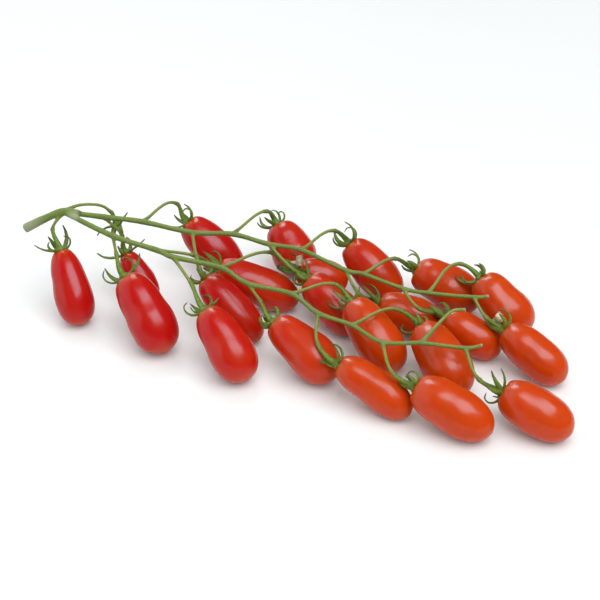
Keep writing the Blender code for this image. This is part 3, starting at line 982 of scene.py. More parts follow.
@dataclass(frozen=True)
class GreenBlade:
    """Calyx green with a paler keel and a brown, dried tip."""

    leaf: tuple = (0.145, 0.232, 0.024)
    dark: tuple = (0.038, 0.075, 0.008)
    keel: tuple = (0.210, 0.300, 0.045)
    brown: tuple = (0.085, 0.050, 0.020)
    cork: tuple = (0.210, 0.170, 0.060)
    mottle_per_mm: float = 0.7
    grain_per_mm: float = 1.6
    dry_from: float = 0.72
    relief: float = 0.35
    roughness: float = 0.55

    def build(self) -> bpy.types.Material:
        """Make the material.

        Returns:
            The material.
        """
        surface = Surface("green_blade")
        place = surface.place()
        tip = surface.attribute("tip")
        ring = surface.attribute("ring")
        rib = surface.attribute("rib")
        mottle = surface.noise(place, self.mottle_per_mm, 3.0)
        grain = surface.noise(place, self.grain_per_mm, 3.0, 0.65)
        colour = surface.mix((0.6 + mottle * 1.8 + grain * 1.6).clamped(), self.dark, self.leaf)
        colour = surface.mix((rib.hump(0.28) * 0.6 + grain * 1.2).clamped(), colour, self.keel)
        dry = ((tip - self.dry_from) * 3.2 + mottle * 1.1).clamped()
        colour = surface.mix(dry, colour, self.brown)
        colour = surface.mix((ring + grain * ring).clamped(), colour, self.cork)
        return surface.finish(
            {
                "Base Color": colour,
                "Roughness": self.roughness + grain * 0.2,
                "Normal": surface.bump(grain + mottle * 0.5, self.relief),
            },
            {"Specular IOR Level": 0.2, "Sheen Weight": 0.05, "Sheen Roughness": 0.4},
        )


@dataclass(frozen=True)
class GreenStem:
    """Stalk green: pale and fibrous, corky at the knuckles and chalky at the cuts, with painted
    shade underneath and painted light on top.
    """

    fresh: tuple = (0.105, 0.175, 0.020)
    pale: tuple = (0.185, 0.262, 0.052)
    deep: tuple = (0.050, 0.083, 0.010)
    straw: tuple = (0.225, 0.255, 0.042)
    lit: tuple = (0.240, 0.315, 0.062)
    cork: tuple = (0.130, 0.090, 0.030)
    cut: tuple = (0.300, 0.330, 0.190)
    fibres_per_mm: float = 1.3
    mottle_per_mm: float = 0.35
    warts_per_mm: float = 1.1
    slim_from: float = 0.75
    relief: float = 0.4
    roughness: float = 0.52

    def build(self) -> bpy.types.Material:
        """Make the material.

        Returns:
            The material.
        """
        surface = Surface("green_stem")
        place = surface.place()
        ring = surface.attribute("ring")
        cut = surface.attribute("cut")
        slim = surface.attribute("slim")
        under = surface.attribute("under")
        grain_place = surface.attribute_arrow("grain")
        fibres = surface.noise(grain_place, self.fibres_per_mm, 4.0, 0.7)
        mottle = surface.noise(place, self.mottle_per_mm, 3.0)
        warts = surface.noise(place, self.warts_per_mm, 3.0, 0.7)
        colour = surface.mix((0.45 + mottle * 1.5 + fibres * 2.6).clamped(), self.fresh, self.pale)
        colour = surface.mix((0.1 + mottle * 1.1 - warts * 2.6).clamped(), colour, self.deep)
        slender = ((slim - self.slim_from) * 5.0).clamped()
        colour = surface.mix(slender * (0.6 + warts), colour, self.straw)
        # Painted light: lighter along the fibres and on the upper side of each stem.
        colour = surface.mix((fibres * 1.5 - under * 0.5).clamped() * 0.4, colour, self.lit)
        # Painted shade: darker on the underside of each stem, and in the warts.
        colour = surface.mix((0.15 + under * 1.1 + warts * 1.5).clamped() * 0.8, colour, self.deep)
        colour = surface.mix((ring * 0.7 + ring * warts * 2.5).clamped(), colour, self.cork)
        colour = surface.mix((cut + cut * fibres).clamped(), colour, self.cut)
        return surface.finish(
            {
                "Base Color": colour,
                "Roughness": self.roughness + fibres * 0.2,
                "Normal": surface.bump(fibres + warts * 0.8, self.relief),
            },
            {"Specular IOR Level": 0.25, "Sheen Weight": 0.08, "Sheen Roughness": 0.4},
        )


@dataclass(frozen=True)
class DryStraw:
    """Papery, straw-coloured petal, brown in its creases."""

    straw: tuple = (0.820, 0.740, 0.520)
    brown: tuple = (0.300, 0.190, 0.080)
    creases_per_mm: float = 0.8
    fibres_per_mm: float = 4.0
    relief: float = 0.3
    roughness: float = 0.75

    def build(self) -> bpy.types.Material:
        """Make the material.

        Returns:
            The material.
        """
        surface = Surface("dry_straw")
        place = surface.place()
        crease = surface.noise(place, self.creases_per_mm, 3.0, 0.6)
        fibre = surface.noise(place, self.fibres_per_mm, 2.0)
        colour = surface.mix((0.25 + crease * 1.8 + fibre * 0.6).clamped(), self.straw, self.brown)
        return surface.finish(
            {
                "Base Color": colour,
                "Roughness": self.roughness + fibre * 0.2,
                "Normal": surface.bump(crease + fibre * 0.4, self.relief),
            },
            {"Specular IOR Level": 0.25},
        )


@dataclass(frozen=True)
class PaleHair:
    """Short pale hairs of a stalk."""

    colour: tuple = (0.330, 0.420, 0.200)
    dry: tuple = (0.300, 0.240, 0.120)
    patches_per_mm: float = 0.5
    roughness: float = 0.5

    def build(self) -> bpy.types.Material:
        """Make the material.

        Returns:
            The material.
        """
        surface = Surface("pale_hair")
        patch = surface.noise(surface.place(), self.patches_per_mm, 2.0)
        colour = surface.mix((0.3 + patch * 1.5).clamped(), self.colour, self.dry)
        return surface.finish({"Base Color": colour, "Roughness": self.roughness + patch * 0.2}, {})


@dataclass(frozen=True)
class WhiteTable:
    """Plain white table with a soft gloss."""

    colour: tuple = (0.775, 0.79, 0.79)
    glow: float = 0.05
    glow_colour: tuple = (0.6, 1.0, 1.0)
    haze_per_mm: float = 0.01
    roughness: float = 0.42

    def build(self) -> bpy.types.Material:
        """Make the material.

        Returns:
            The material.
        """
        surface = Surface("white_table")
        haze = surface.noise(surface.place(), self.haze_per_mm, 2.0)
        return surface.finish(
            {"Roughness": self.roughness + haze * 0.08},
            {
                "Base Color": self.colour,
                "Specular IOR Level": 0.3,
                "Emission Color": self.glow_colour,
                "Emission Strength": self.glow,
            },
        )


# Shaping rules


def skin_rule() -> Rule:
    """The tomato: a ball stretched along a bent axis to the fruit's outline, pressed flat below.

    Returns:
        The finished tree.
    """
    sizes = dict.fromkeys(("Segments", "Rings"), "count")
    sizes |= dict.fromkeys(("Stem end", "Chord", "Right", "Seed"), "vector")
    sizes |= dict.fromkeys(("Length", "Girth", "Radius", "Taper", "Waist", "Dip"), "number")
    sizes |= dict.fromkeys(("Dip place", "Bend", "Nipple", "Ripeness"), "number")
    rule = Rule("tomato_skin", sizes)
    ball = rule.node(
        "GeometryNodeMeshUVSphere",
        None,
        {"Segments": rule.size("Segments"), "Rings": rule.size("Rings"), "Radius": 1.0},
    )
    length = rule.size("Length")
    radius = rule.size("Radius")
    bend = rule.size("Bend")
    x, y, z = rule.place().parts()
    level = rule.math("SQRT", rule.math("MAXIMUM", 1.0 - z * z, 0.0))
    share = (1.0 - z) * 0.5
    waist = (share - WAIST_PLACE).hump(WAIST_SPREAD) * rule.size("Waist")
    waist = waist + (share - rule.size("Dip place")).hump(DIP_SPREAD) * rule.size("Dip")
    rounding = level ** (share**3.0 * TIP_ROUNDING + BLUNTNESS)
    full = rounding * (1.0 - rule.size("Taper") * z) * (1.0 - waist)
    spoke = rule.math("MAXIMUM", level, EPSILON)
    cosine = x / spoke
    sine = y / spoke
    shape_place = rule.arrow(cosine * full, sine * full, z * LOBE_STRETCH) + rule.direction("Seed")
    lobes = rule.noise(shape_place, LOBE_SCALE, 1.0)
    dents = rule.noise(shape_place, DENT_SCALE, 2.0)
    turn = rule.math("ARCTAN2", sine, cosine)
    phase = rule.noise(rule.direction("Seed"), 1.7, 0.0) * CREASE_TURNS
    creases = rule.math("COSINE", turn * CREASES + phase)
    creases = creases * (share - CREASE_PLACE).hump(CREASE_SPREAD)
    relief = SKIN_LEVEL + lobes * LOBE_DEPTH + dents * DENT_DEPTH + creases * CREASE_DEPTH
    girth = full * rule.size("Girth") * relief
    relative = girth / radius
    stem_side = ((0.5 - share) * 4.0).clamped()
    dimple = relative.hump(DIMPLE_SPREAD) * DIMPLE_DEPTH * stem_side
    nipple = relative.hump(NIPPLE_SPREAD) * rule.size("Nipple") * (1.0 - stem_side)
    station = share * length + dimple + nipple
    angle = bend * (station / length - 0.5)
    reach = length / bend
    forward = (rule.math("SINE", angle) + rule.math("SINE", bend * 0.5)) * reach
    sideways = (rule.math("COSINE", bend * 0.5) - rule.math("COSINE", angle)) * reach
    out = girth * cosine
    up = girth * sine
    chord = rule.direction("Chord")
    right = rule.direction("Right")
    centred = (
        rule.direction("Stem end")
        + chord * (forward - out * rule.math("SINE", angle))
        + right * (sideways + out * rule.math("COSINE", angle))
        + chord.cross(right) * up
    )
    east, north, height = centred.parts()
    pressed = rule.math("SMOOTH_MAX", height, 0.0, REST_SOFTNESS)
    resting = rule.arrow(east, north, pressed) * MM
    mesh = rule.store(ball.outputs["Mesh"], "skin", rule.arrow(station, out, up))
    mesh = rule.store(mesh, "along", share)
    mesh = rule.store(mesh, "ripeness", rule.size("Ripeness"))
    return rule.close(rule.move(mesh, resting))


def strand_rule() -> Rule:
    """Blades and stems: a section swept along strands, as wide and thick as their points say.

    Returns:
        The finished tree.
    """
    rule = Rule("section_along_strands", {"Sides": "count", "Crumple": "number"})
    path = rule.node("GeometryNodeMeshToCurve", None, {"Mesh": rule.entry.outputs["Geometry"]})
    path_kept = rule.store(path.outputs["Curve"], "centre", rule.place())
    ring = rule.node(
        "GeometryNodeCurvePrimitiveCircle", {"mode": "RADIUS"}, {"Resolution": rule.size("Sides")}
    )
    section = rule.store(ring.outputs["Curve"], "section", rule.place())
    swept = rule.node(
        "GeometryNodeCurveToMesh",
        None,
        {"Curve": path_kept, "Profile Curve": section, "Fill Caps": True},
    )
    side, depth, _ = rule.stored_arrow("section").parts()
    lift = depth * rule.stored("thick") + side * side * rule.stored("cup")
    places = (
        rule.stored_arrow("centre")
        + rule.stored_arrow("across") * (side * rule.stored("wide"))
        + rule.stored_arrow("face") * lift
    )
    wrinkle = rule.node(
        "ShaderNodeTexNoise",
        {"noise_dimensions": "3D"},
        {"Vector": places * WRINKLES_PER_METRE, "Detail": 2.0},
    )
    shaken = Arrow(rule, wrinkle.outputs["Color"]) - (0.5, 0.5, 0.5)
    mesh = rule.store(swept.outputs["Mesh"], "rib", side)
    return rule.close(rule.move(mesh, places + shaken * (rule.size("Crumple") * MM)))


def bark_rule() -> Rule:
    """Stalk skin: stair steps of the union smoothed away, then small warts raised.

    Returns:
        The finished tree.
    """
    rule = Rule("stalk_skin", {"Passes": "count", "Swell": "number", "Warts": "number"})
    smooth = rule.node(
        "GeometryNodeBlurAttribute",
        {"data_type": "FLOAT_VECTOR"},
        {"Value": rule.place(), "Iterations": rule.size("Passes")},
    )
    mesh = rule.move(rule.entry.outputs["Geometry"], Arrow(rule, smooth.outputs["Value"]))
    place = rule.place()
    coarse = rule.noise(place * (1 / MM), COARSE_WARTS_PER_MM, 2.0)
    fine = rule.noise(place * (1 / MM), FINE_WARTS_PER_MM, 1.0)
    lumps = coarse * 0.9 + fine * 0.5
    swell = (rule.size("Swell") + rule.size("Warts") * lumps) * MM
    return rule.close(rule.move(mesh, place + rule.normal() * swell))


def hair_rule() -> Rule:
    """Short hairs that stand on a surface, each a slim three-sided cone.

    Returns:
        The finished tree.
    """
    rule = Rule("hairs_on_a_surface", {"Per square mm": "number", "Longest": "number"})
    spread = rule.node(
        "GeometryNodeDistributePointsOnFaces",
        {"distribute_method": "RANDOM"},
        {
            "Mesh": rule.entry.outputs["Geometry"],
            "Density": rule.size("Per square mm") / (MM * MM),
            "Seed": 7,
        },
    )
    hair = rule.node(
        "GeometryNodeMeshCone",
        {"fill_type": "NGON"},
        {
            "Vertices": 3, "Side Segments": 1, "Fill Segments": 1,
            "Radius Top": 0.0, "Radius Bottom": HAIR_RADIUS * MM, "Depth": 1.0 * MM,
        },
    )
    lean = rule.node(
        "FunctionNodeRandomValue",
        {"data_type": "FLOAT_VECTOR"},
        {"Min": (-HAIR_LEAN, -HAIR_LEAN, 0.0), "Max": (HAIR_LEAN, HAIR_LEAN, 6.0), "Seed": 3},
    )
    turned = rule.node(
        "FunctionNodeRotateRotation",
        {"rotation_space": "LOCAL"},
        {"Rotation": spread.outputs["Rotation"], "Rotate By": rule.exit_of(lean, "Value")},
    )
    growth = rule.node(
        "FunctionNodeRandomValue",
        {"data_type": "FLOAT"},
        {"Min_001": SHORTEST_HAIR, "Max_001": 1.0, "Seed": 5},
    )
    long = Field(rule, rule.exit_of(growth, "Value_001")) * rule.size("Longest")
    grown = rule.node(
        "GeometryNodeInstanceOnPoints",
        None,
        {
            "Points": spread.outputs["Points"],
            "Instance": hair.outputs["Mesh"],
            "Rotation": turned.outputs["Rotation"],
            "Scale": rule.arrow(1.0, 1.0, long),
        },
    )
    return rule.close(grown.outputs["Instances"])


# Sub-assemblies


@dataclass(frozen=True)
class Seat:
    """Where a calyx sits, which way it faces and where its pedicel arrives."""

    base: Vector
    outward: Vector
    right: Vector
    up: Vector
    knuckle: Vector

    @staticmethod
    def free(base: Vector, outward: Vector, knuckle: Vector) -> Seat:
        """The seat of a calyx or a flower that has no fruit.

        Args:
            base: the middle of its disc.
            outward: which way it faces, of any length.
            knuckle: where its stem arrives.

        Returns:
            The seat.
        """
        outward = outward.normalized()
        forward = outward.cross(Vector((1, 0, 0))).normalized()
        return Seat(base, outward, forward.cross(outward), -forward, knuckle)


@dataclass
class Fruit:
    """One tomato of the truss."""

    row: Tomato
    segments: int = 80
    rings: int = 56
    nipple: float = 0.5
    ease: float = 0.995

    def __post_init__(self) -> None:
        """Work out the fruit's directions and its outline."""
        row = self.row
        heading = math.radians(row.heading)
        pitch = math.radians(row.pitch)
        level = Vector((math.cos(heading), math.sin(heading), 0))
        self.chord = level * math.cos(pitch) - Vector((0, 0, math.sin(pitch)))
        self.right = Vector((math.sin(heading), -math.cos(heading), 0))
        self.bend = math.radians(row.bend)
        self.fullness = [self.full(ring) for ring in range(RINGS_OF_FRAME + 1)]
        self.widest = max(full for _, full in self.fullness)
        self.stem_end = Vector((row.x, row.y, self.resting_height()))

    @property
    def name(self) -> str:
        """Name of the fruit's node."""
        return f"fruit_{self.row.number:02d}"

    def full(self, ring: int) -> tuple[float, float]:
        """Share of the length and unscaled radius at a ring of the frame.

        Args:
            ring: the ring's number, from the stem end.

        Returns:
            Both numbers.
        """
        turn = math.pi * ring / RINGS_OF_FRAME
        share = 0.5 - 0.5 * math.cos(turn)
        waist = self.row.waist * bell(share - WAIST_PLACE, WAIST_SPREAD)
        rise = abs(math.sin(turn)) ** BLUNTNESS
        return share, rise * (1 - self.row.taper * math.cos(turn)) * (1 - waist)

    def outline(self) -> list[tuple[float, float]]:
        """Station and radius of each ring of the frame.

        Returns:
            One pair for each ring, in millimetres.
        """
        pairs = []
        for share, full in self.fullness:
            relative = full / self.widest
            station = share * self.row.length
            if share < 0.5:
                station += DIMPLE_DEPTH * bell(relative, DIMPLE_SPREAD)
            pairs.append((station, relative * self.row.width / 2))
        return pairs

    def across(self, station: float) -> tuple[Vector, Vector]:
        """Two directions square to the axis at a station.

        Args:
            station: how far along the axis.

        Returns:
            The way to the fruit's right, and the way square to it.
        """
        turn = self.bend * (station / self.row.length - 0.5)
        side = self.right * math.cos(turn) - self.chord * math.sin(turn)
        along = self.chord * math.cos(turn) + self.right * math.sin(turn)
        return side, along.cross(side)

    def axis_place(self, station: float) -> Vector:
        """Point of the axis from the stem end.

        Args:
            station: how far along the axis.

        Returns:
            The point.
        """
        if self.bend == 0:
            return self.chord * station
        radius = self.row.length / self.bend
        start = -self.bend / 2
        turn = start + station / radius
        forward = math.sin(turn) - math.sin(start)
        sideways = math.cos(start) - math.cos(turn)
        return (self.chord * forward + self.right * sideways) * radius

    def resting_height(self) -> float:
        """Height of the stem end when the fruit rests as the frame's does.

        Returns:
            The height in millimetres.
        """
        lowest = math.inf
        for station, radius in self.outline():
            side, other = self.across(station)
            centre = self.axis_place(station)
            for step in range(SIDES_OF_FRAME):
                turn = math.tau * step / SIDES_OF_FRAME
                spoke = side * math.cos(turn) + other * math.sin(turn)
                lowest = min(lowest, (centre + spoke * radius).z)
        return (self.row.lift or -REST_FLAT) - lowest

    def seat(self) -> Seat:
        """Where the fruit's calyx sits.

        Returns:
            The seat.
        """
        shoulder = min(station for station, _ in self.outline())
        right, other = self.across(0)
        outward = other.cross(right).normalized()
        if outward.dot(self.chord) > 0:
            outward = -outward
        up = right.cross(outward)
        if up.z < 0:
            up = -up
        base = self.stem_end + outward * (SEPAL_CLEARANCE - shoulder)
        return Seat(base, outward, right, up, Vector(self.row.knuckle))

    def build(self, rule: Rule, finish: bpy.types.Material) -> None:
        """Shape, dress and hand over the fruit.

        Args:
            rule: shapes the skin.
            finish: the skin's material.
        """
        row = self.row
        draw = random.Random(row.number)
        sizes = {
            "Segments": self.segments,
            "Rings": self.rings,
            "Stem end": self.stem_end - MIDDLE,
            "Chord": self.chord,
            "Right": self.right,
            "Seed": [draw.uniform(0, 50) for _ in range(3)],
            "Length": float(row.length),
            "Girth": self.ease * row.width / 2 / self.widest,
            "Radius": row.width / 2,
            "Taper": row.taper,
            "Waist": row.waist,
            "Bend": self.bend or EPSILON,
            "Nipple": self.nipple,
            "Ripeness": draw.uniform(-0.15, 0.15),
            "Dip": draw.uniform(0.02, 0.06) * (row.waist == 0),
            "Dip place": draw.uniform(0.36, 0.48),
        }
        piece = rule.shape(self.name + "_skin", bpy.data.meshes.new(self.name), sizes, finish)
        hand_over(piece, Slot.SKIN, self.name)


@dataclass
class Calyx:
    """The green top of a fruit: pedicel past its knuckle, disc and sepals."""

    name: str
    seat: Seat
    root: Vector
    blades: tuple
    root_width: float = 2.25
    tip_width: float = 0.25
    root_thickness: float = 0.8
    tip_thickness: float = 0.28
    root_ease: float = 0.2
    narrowing: float = 0.8
    twist: float = 50.0
    steps: int = 5
    neck_steps: int = 14
    neck_start: float = 0.5
    knuckle_spread: float = 0.16
    cork: float = 0.9
    cork_place: float = 0.03
    cork_spread: float = 0.05
    start_ease: float = 0.8
    sides: int = 12
    crumple: float = 0.5
    slot: Slot = Slot.CALYX
    ending: str = "_green"

    def way(self) -> Vector:
        """Which way the pedicel runs as it passes its knuckle.

        Returns:
            A direction of length 1.
        """
        to_knuckle = (self.seat.knuckle - self.root).normalized()
        onward = (self.seat.base - self.seat.knuckle).normalized()
        return (to_knuckle + onward).normalized()

    def neck(self) -> list[Station]:
        """Stations of the pedicel from its knuckle into the disc.

        Returns:
            The stations.
        """
        seat = self.seat
        way = self.way()
        neck_end = seat.base + seat.outward * DISC_RISE
        start = seat.knuckle - way * self.neck_start
        reach = (neck_end - start).length / 3
        path = bezier(
            start, start + way * reach, neck_end + seat.outward * reach, neck_end, self.neck_steps
        )
        girths = []
        rings = []
        for step in range(self.neck_steps + 1):
            share = step / self.neck_steps
            swelling = (KNUCKLE_GIRTH - PEDICEL_GIRTH) * bell(share, self.knuckle_spread)
            girths.append(blend(PEDICEL_GIRTH, NECK_GIRTH, share**2) + swelling)
            rings.append(self.cork * bell(share - self.cork_place, self.cork_spread))
        girths[0] *= self.start_ease
        for height, girth in FOOT:
            path.append(seat.base + seat.outward * height)
            girths.append(girth)
            rings.append(0.0)
        return round_strand(path, girths, rings)

    def blade(self, row: Sepal) -> list[Station]:
        """Stations of one blade, which leaves the disc sideways and curls back.

        Args:
            row: the blade's sizes and angles.

        Returns:
            The stations.
        """
        seat = self.seat
        turn = math.radians(row.around)
        radial = seat.up * math.cos(turn) + seat.right * math.sin(turn)
        sideways = seat.outward.cross(radial)
        centre = seat.base + radial * SEPAL_ROOT
        corners = []
        for step in range(SEPAL_JOINTS + 1):
            share = step / SEPAL_JOINTS
            corners.append(centre + sideways * (row.sway * share))
            angle = row.tilt(share)
            along = radial * math.cos(angle) + seat.outward * math.sin(angle)
            centre = centre + along * (row.length / SEPAL_JOINTS)
        path = through(corners, self.steps)
        draw = random.Random(f"{self.name}{row.around}")
        twist = math.radians(draw.uniform(-self.twist, self.twist))
        stations = []
        for index, place in enumerate(path):
            share = index / (len(path) - 1)
            angle = row.tilt(share)
            face = seat.outward * math.cos(angle) - radial * math.sin(angle)
            roll = twist * share
            across = sideways * math.cos(roll) + face * math.sin(roll)
            face = face * math.cos(roll) - sideways * math.sin(roll)
            wide = blend(self.tip_width, self.root_width, (1 - share) ** self.narrowing)
            wide *= 1 - self.root_ease * bell(share, 0.06)
            thick = blend(self.root_thickness, self.tip_thickness, share)
            middle = place - seat.outward * (SEPAL_SINK * bell(share, 0.35))
            stations.append(Station(middle, across, face, wide, thick, wide * SEPAL_CUP, share))
        return stations

    def build(self, rule: Rule, finish: bpy.types.Material) -> None:
        """Shape, dress and hand over the calyx or flower.

        Args:
            rule: sweeps the strands.
            finish: the material.
        """
        strands = [self.neck(), *(self.blade(Sepal(*row)) for row in self.blades)]
        sizes = {"Sides": self.sides, "Crumple": self.crumple}
        piece = rule.shape(self.name + self.ending, strands_mesh(self.name, strands), sizes, finish)
        hand_over(piece, self.slot, self.name)


@dataclass
class DriedFlower(Calyx):
    """A withered flower caught by a calyx."""

    root_width: float = 2.0
    tip_width: float = 1.7
    root_thickness: float = 0.3
    tip_thickness: float = 0.2
    crumple: float = 2.0
    slot: Slot = Slot.PETAL
    ending: str = "_petals"

    def neck(self) -> list[Station]:
        """Stations of the flower's short tube."""
        path = [self.seat.base + self.seat.outward * height for height, _ in TUBE]
        return round_strand(path, [girth for _, girth in TUBE])


@dataclass
class Stalk:
    """The cut stalk with its two arms and every pedicel up to its knuckle."""

    fruits: list[Fruit]
    steps: int = 8
    pedicel_steps: int = 18
    voxel: float = 0.4
    smoothing: int = 4
    swell: float = -0.08
    warts: float = 0.26
    fork_ease: float = 0.96
    scar: tuple = (-2, -4, -1)
    arm_ease: float = 0.9
    joint_swelling: float = 0.12
    joint_spread: float = 0.22
    root_spread: float = 0.16
    knuckle_spread: float = 0.1
    waist: float = 0.16
    waist_place: float = 0.45
    waist_spread: float = 0.3
    slim_below: float = 2.0
    ring_reach: float = 1.6
    joint_ring: float = 0.3
    joint_reach: float = 3.0
    cut_reaches: tuple = (13, 1.6, 1.6, 1.6, 4.0)
    fibre_drift: float = 0.12
    sides: int = 16

    def joints(self) -> dict[str, Vector]:
        """Every joint of both arms by name, and the root of the first pedicel."""
        places = {name: Vector(place) for name, place in (*BACK_ARM, *FRONT_ARM)}
        return {**places, "first": Vector(FIRST_ROOT)}

    def arm(self, joints: tuple) -> list[Station]:
        """Stations of one arm, slimmer outwards and swollen at each joint.

        Args:
            joints: names and places, from the fork outwards.

        Returns:
            The stations.
        """
        path = through([Vector(place) for _, place in joints], self.steps)
        last = len(path) - 1
        girths = []
        for index in range(last + 1):
            nearest = round(index / self.steps) * self.steps
            at_joint = 0 < nearest < last
            closeness = bell((index - nearest) / self.steps, self.joint_spread) if at_joint else 0
            swelling = self.joint_swelling * closeness
            girths.append(blend(*ARM_GIRTHS, index / last) * (self.arm_ease + swelling))
        return round_strand(path, girths)

    def pedicel_girths(self, count: int) -> list[float]:
        """Radii of a pedicel: wide at its root, even, then swollen at the knuckle.

        Args:
            count: how many points the pedicel has.

        Returns:
            One radius for each point.
        """
        girths = []
        for index in range(count):
            share = index / (count - 1)
            root = (ROOT_GIRTH - PEDICEL_GIRTH) * bell(share, self.root_spread)
            knuckle = (KNUCKLE_GIRTH - PEDICEL_GIRTH) * bell(1 - share, self.knuckle_spread)
            girths.append(PEDICEL_GIRTH + root + knuckle)
        return girths

    def pedicel(self, root: Vector, calyx: Calyx) -> list[Station]:
        """Stations of one pedicel from its joint to just past its knuckle.

        Args:
            root: the joint that it grows from.
            calyx: the calyx that it carries.

        Returns:
            The stations.
        """
        way = calyx.way()
        end = calyx.seat.knuckle
        reach = (end - root).length / 3
        leave = root + (end - root).normalized() * reach
        path = bezier(root, leave, end - way * reach, end, self.pedicel_steps)
        return round_strand(path, self.pedicel_girths(len(path)))

    def strands(self, calyces: list[Calyx]) -> list[list[Station]]:
        """Stations of every stem that grows into the stalk.

        Args:
            calyces: those of the fruits, in the fruits' order.

        Returns:
            The stations of each stem.
        """
        cut = through([Vector(place) for place in CUT_STALK], self.steps)
        girths = []
        for index in range(len(cut)):
            share = index / (len(cut) - 1)
            waist = self.waist * bell(share - self.waist_place, self.waist_spread)
            girths.append(blend(CUT_GIRTH, FORK_GIRTH * self.fork_ease, share) * (1 - waist))
        stems = [round_strand(cut, girths), self.arm(BACK_ARM), self.arm(FRONT_ARM)]
        places = self.joints()
        for fruit, calyx in zip(self.fruits, calyces):
            stems.append(self.pedicel(places[fruit.row.joint], calyx))
        for points in (LOST_PEDICEL, BARREN_PEDICEL):
            path = through([Vector(point) for point in points], self.steps)
            stems.append(round_strand(path, self.pedicel_girths(len(path))))
        return stems

    def mark(
        self, piece: bpy.types.Object, stems: list[list[Station]], calyces: list[Calyx]
    ) -> None:
        """Store on the finished mesh how old, corky and fibrous each place is, and how far below
        its stem's centre it lies, for painted shade.

        Args:
            piece: the stalk.
            stems: the stations of its stems.
            calyces: the calyces, whose knuckles are corky.
        """
        samples = [(placed(s.centre), s.wide) for stem in stems for s in stem]
        tree = KDTree(len(samples))
        for index, (place, _) in enumerate(samples):
            tree.insert(place, index)
        tree.balance()
        corky = [(calyx.seat.knuckle, self.ring_reach, 1.0) for calyx in calyces]
        corky += [(joint, self.joint_reach, self.joint_ring) for joint in self.joints().values()]
        tips = (CUT_STALK[0], BACK_ARM[-1][1], FRONT_ARM[-1][1], LOST_PEDICEL[-1])
        ends = [*(Vector(tip) for tip in tips), Vector(CUT_STALK[-1]) + Vector(self.scar)]
        cuts = [(end, reach, 1.0) for end, reach in zip(ends, self.cut_reaches)]
        vertices = piece.data.vertices
        places = np.array([vertex.co for vertex in vertices])
        centres = np.empty_like(places)
        slim = np.empty(len(places))
        thick = np.empty(len(places))
        for index, vertex in enumerate(vertices):
            _, found, _ = tree.find(vertex.co)
            centres[index] = samples[found][0]
            slim[index] = min(max(self.slim_below - samples[found][1], 0), 1)
            thick[index] = samples[found][1] * MM
        marks = {
            "grain": (places - centres) / MM + centres / MM * self.fibre_drift,
            "slim": slim,
            "ring": nearness(places, corky),
            "cut": nearness(places, cuts),
            # For painted shade: how far below its stem's centre each place lies.
            "under": np.clip((centres[:, 2] - places[:, 2]) / thick, -1, 1),
        }
        for key, values in marks.items():
            keep(piece.data, key, values)

    def build(
        self, calyces: list[Calyx], stems_rule: Rule, skin: Rule, finish: bpy.types.Material
    ) -> bpy.types.Object:
        """Shape, dress and hand over the stalk.

        Args:
            calyces: those of the fruits, then the barren one.
            stems_rule: sweeps the round stems.
            skin: smooths the union and raises its warts.
            finish: the stalk's material.

        Returns:
            The stalk.
        """
        stems = self.strands(calyces)
        piece = linked("stalk_green", strands_mesh("stalk_green", stems))
        stems_rule.attach(piece, {"Sides": self.sides, "Crumple": 0.0}, finish)
        union = piece.modifiers.new("grown_together", "REMESH")
        union.mode = "VOXEL"
        union.voxel_size = self.voxel * MM
        sizes = {"Passes": self.smoothing, "Swell": self.swell, "Warts": self.warts}
        skin.attach(piece, sizes, finish)
        made_plain(piece)
        self.mark(piece, stems, calyces)
        hand_over(piece, Slot.STALK, "stalk")
        return piece


@dataclass
class StalkHairs:
    """Short hairs all over the stalk."""

    per_square_mm: float = 1.0
    longest: float = 0.5

    def build(self, stalk: bpy.types.Object, rule: Rule, finish: bpy.types.Material) -> None:
        """Grow the hairs on a copy of the stalk.

        Args:
            stalk: the finished stalk.
            rule: grows the hairs.
            finish: the hairs' material.
        """
        sizes = {"Per square mm": self.per_square_mm, "Longest": self.longest}
        piece = rule.shape("stalk_hairs", stalk.data.copy(), sizes, finish)
        hand_over(piece, Slot.STALK)


# Studio


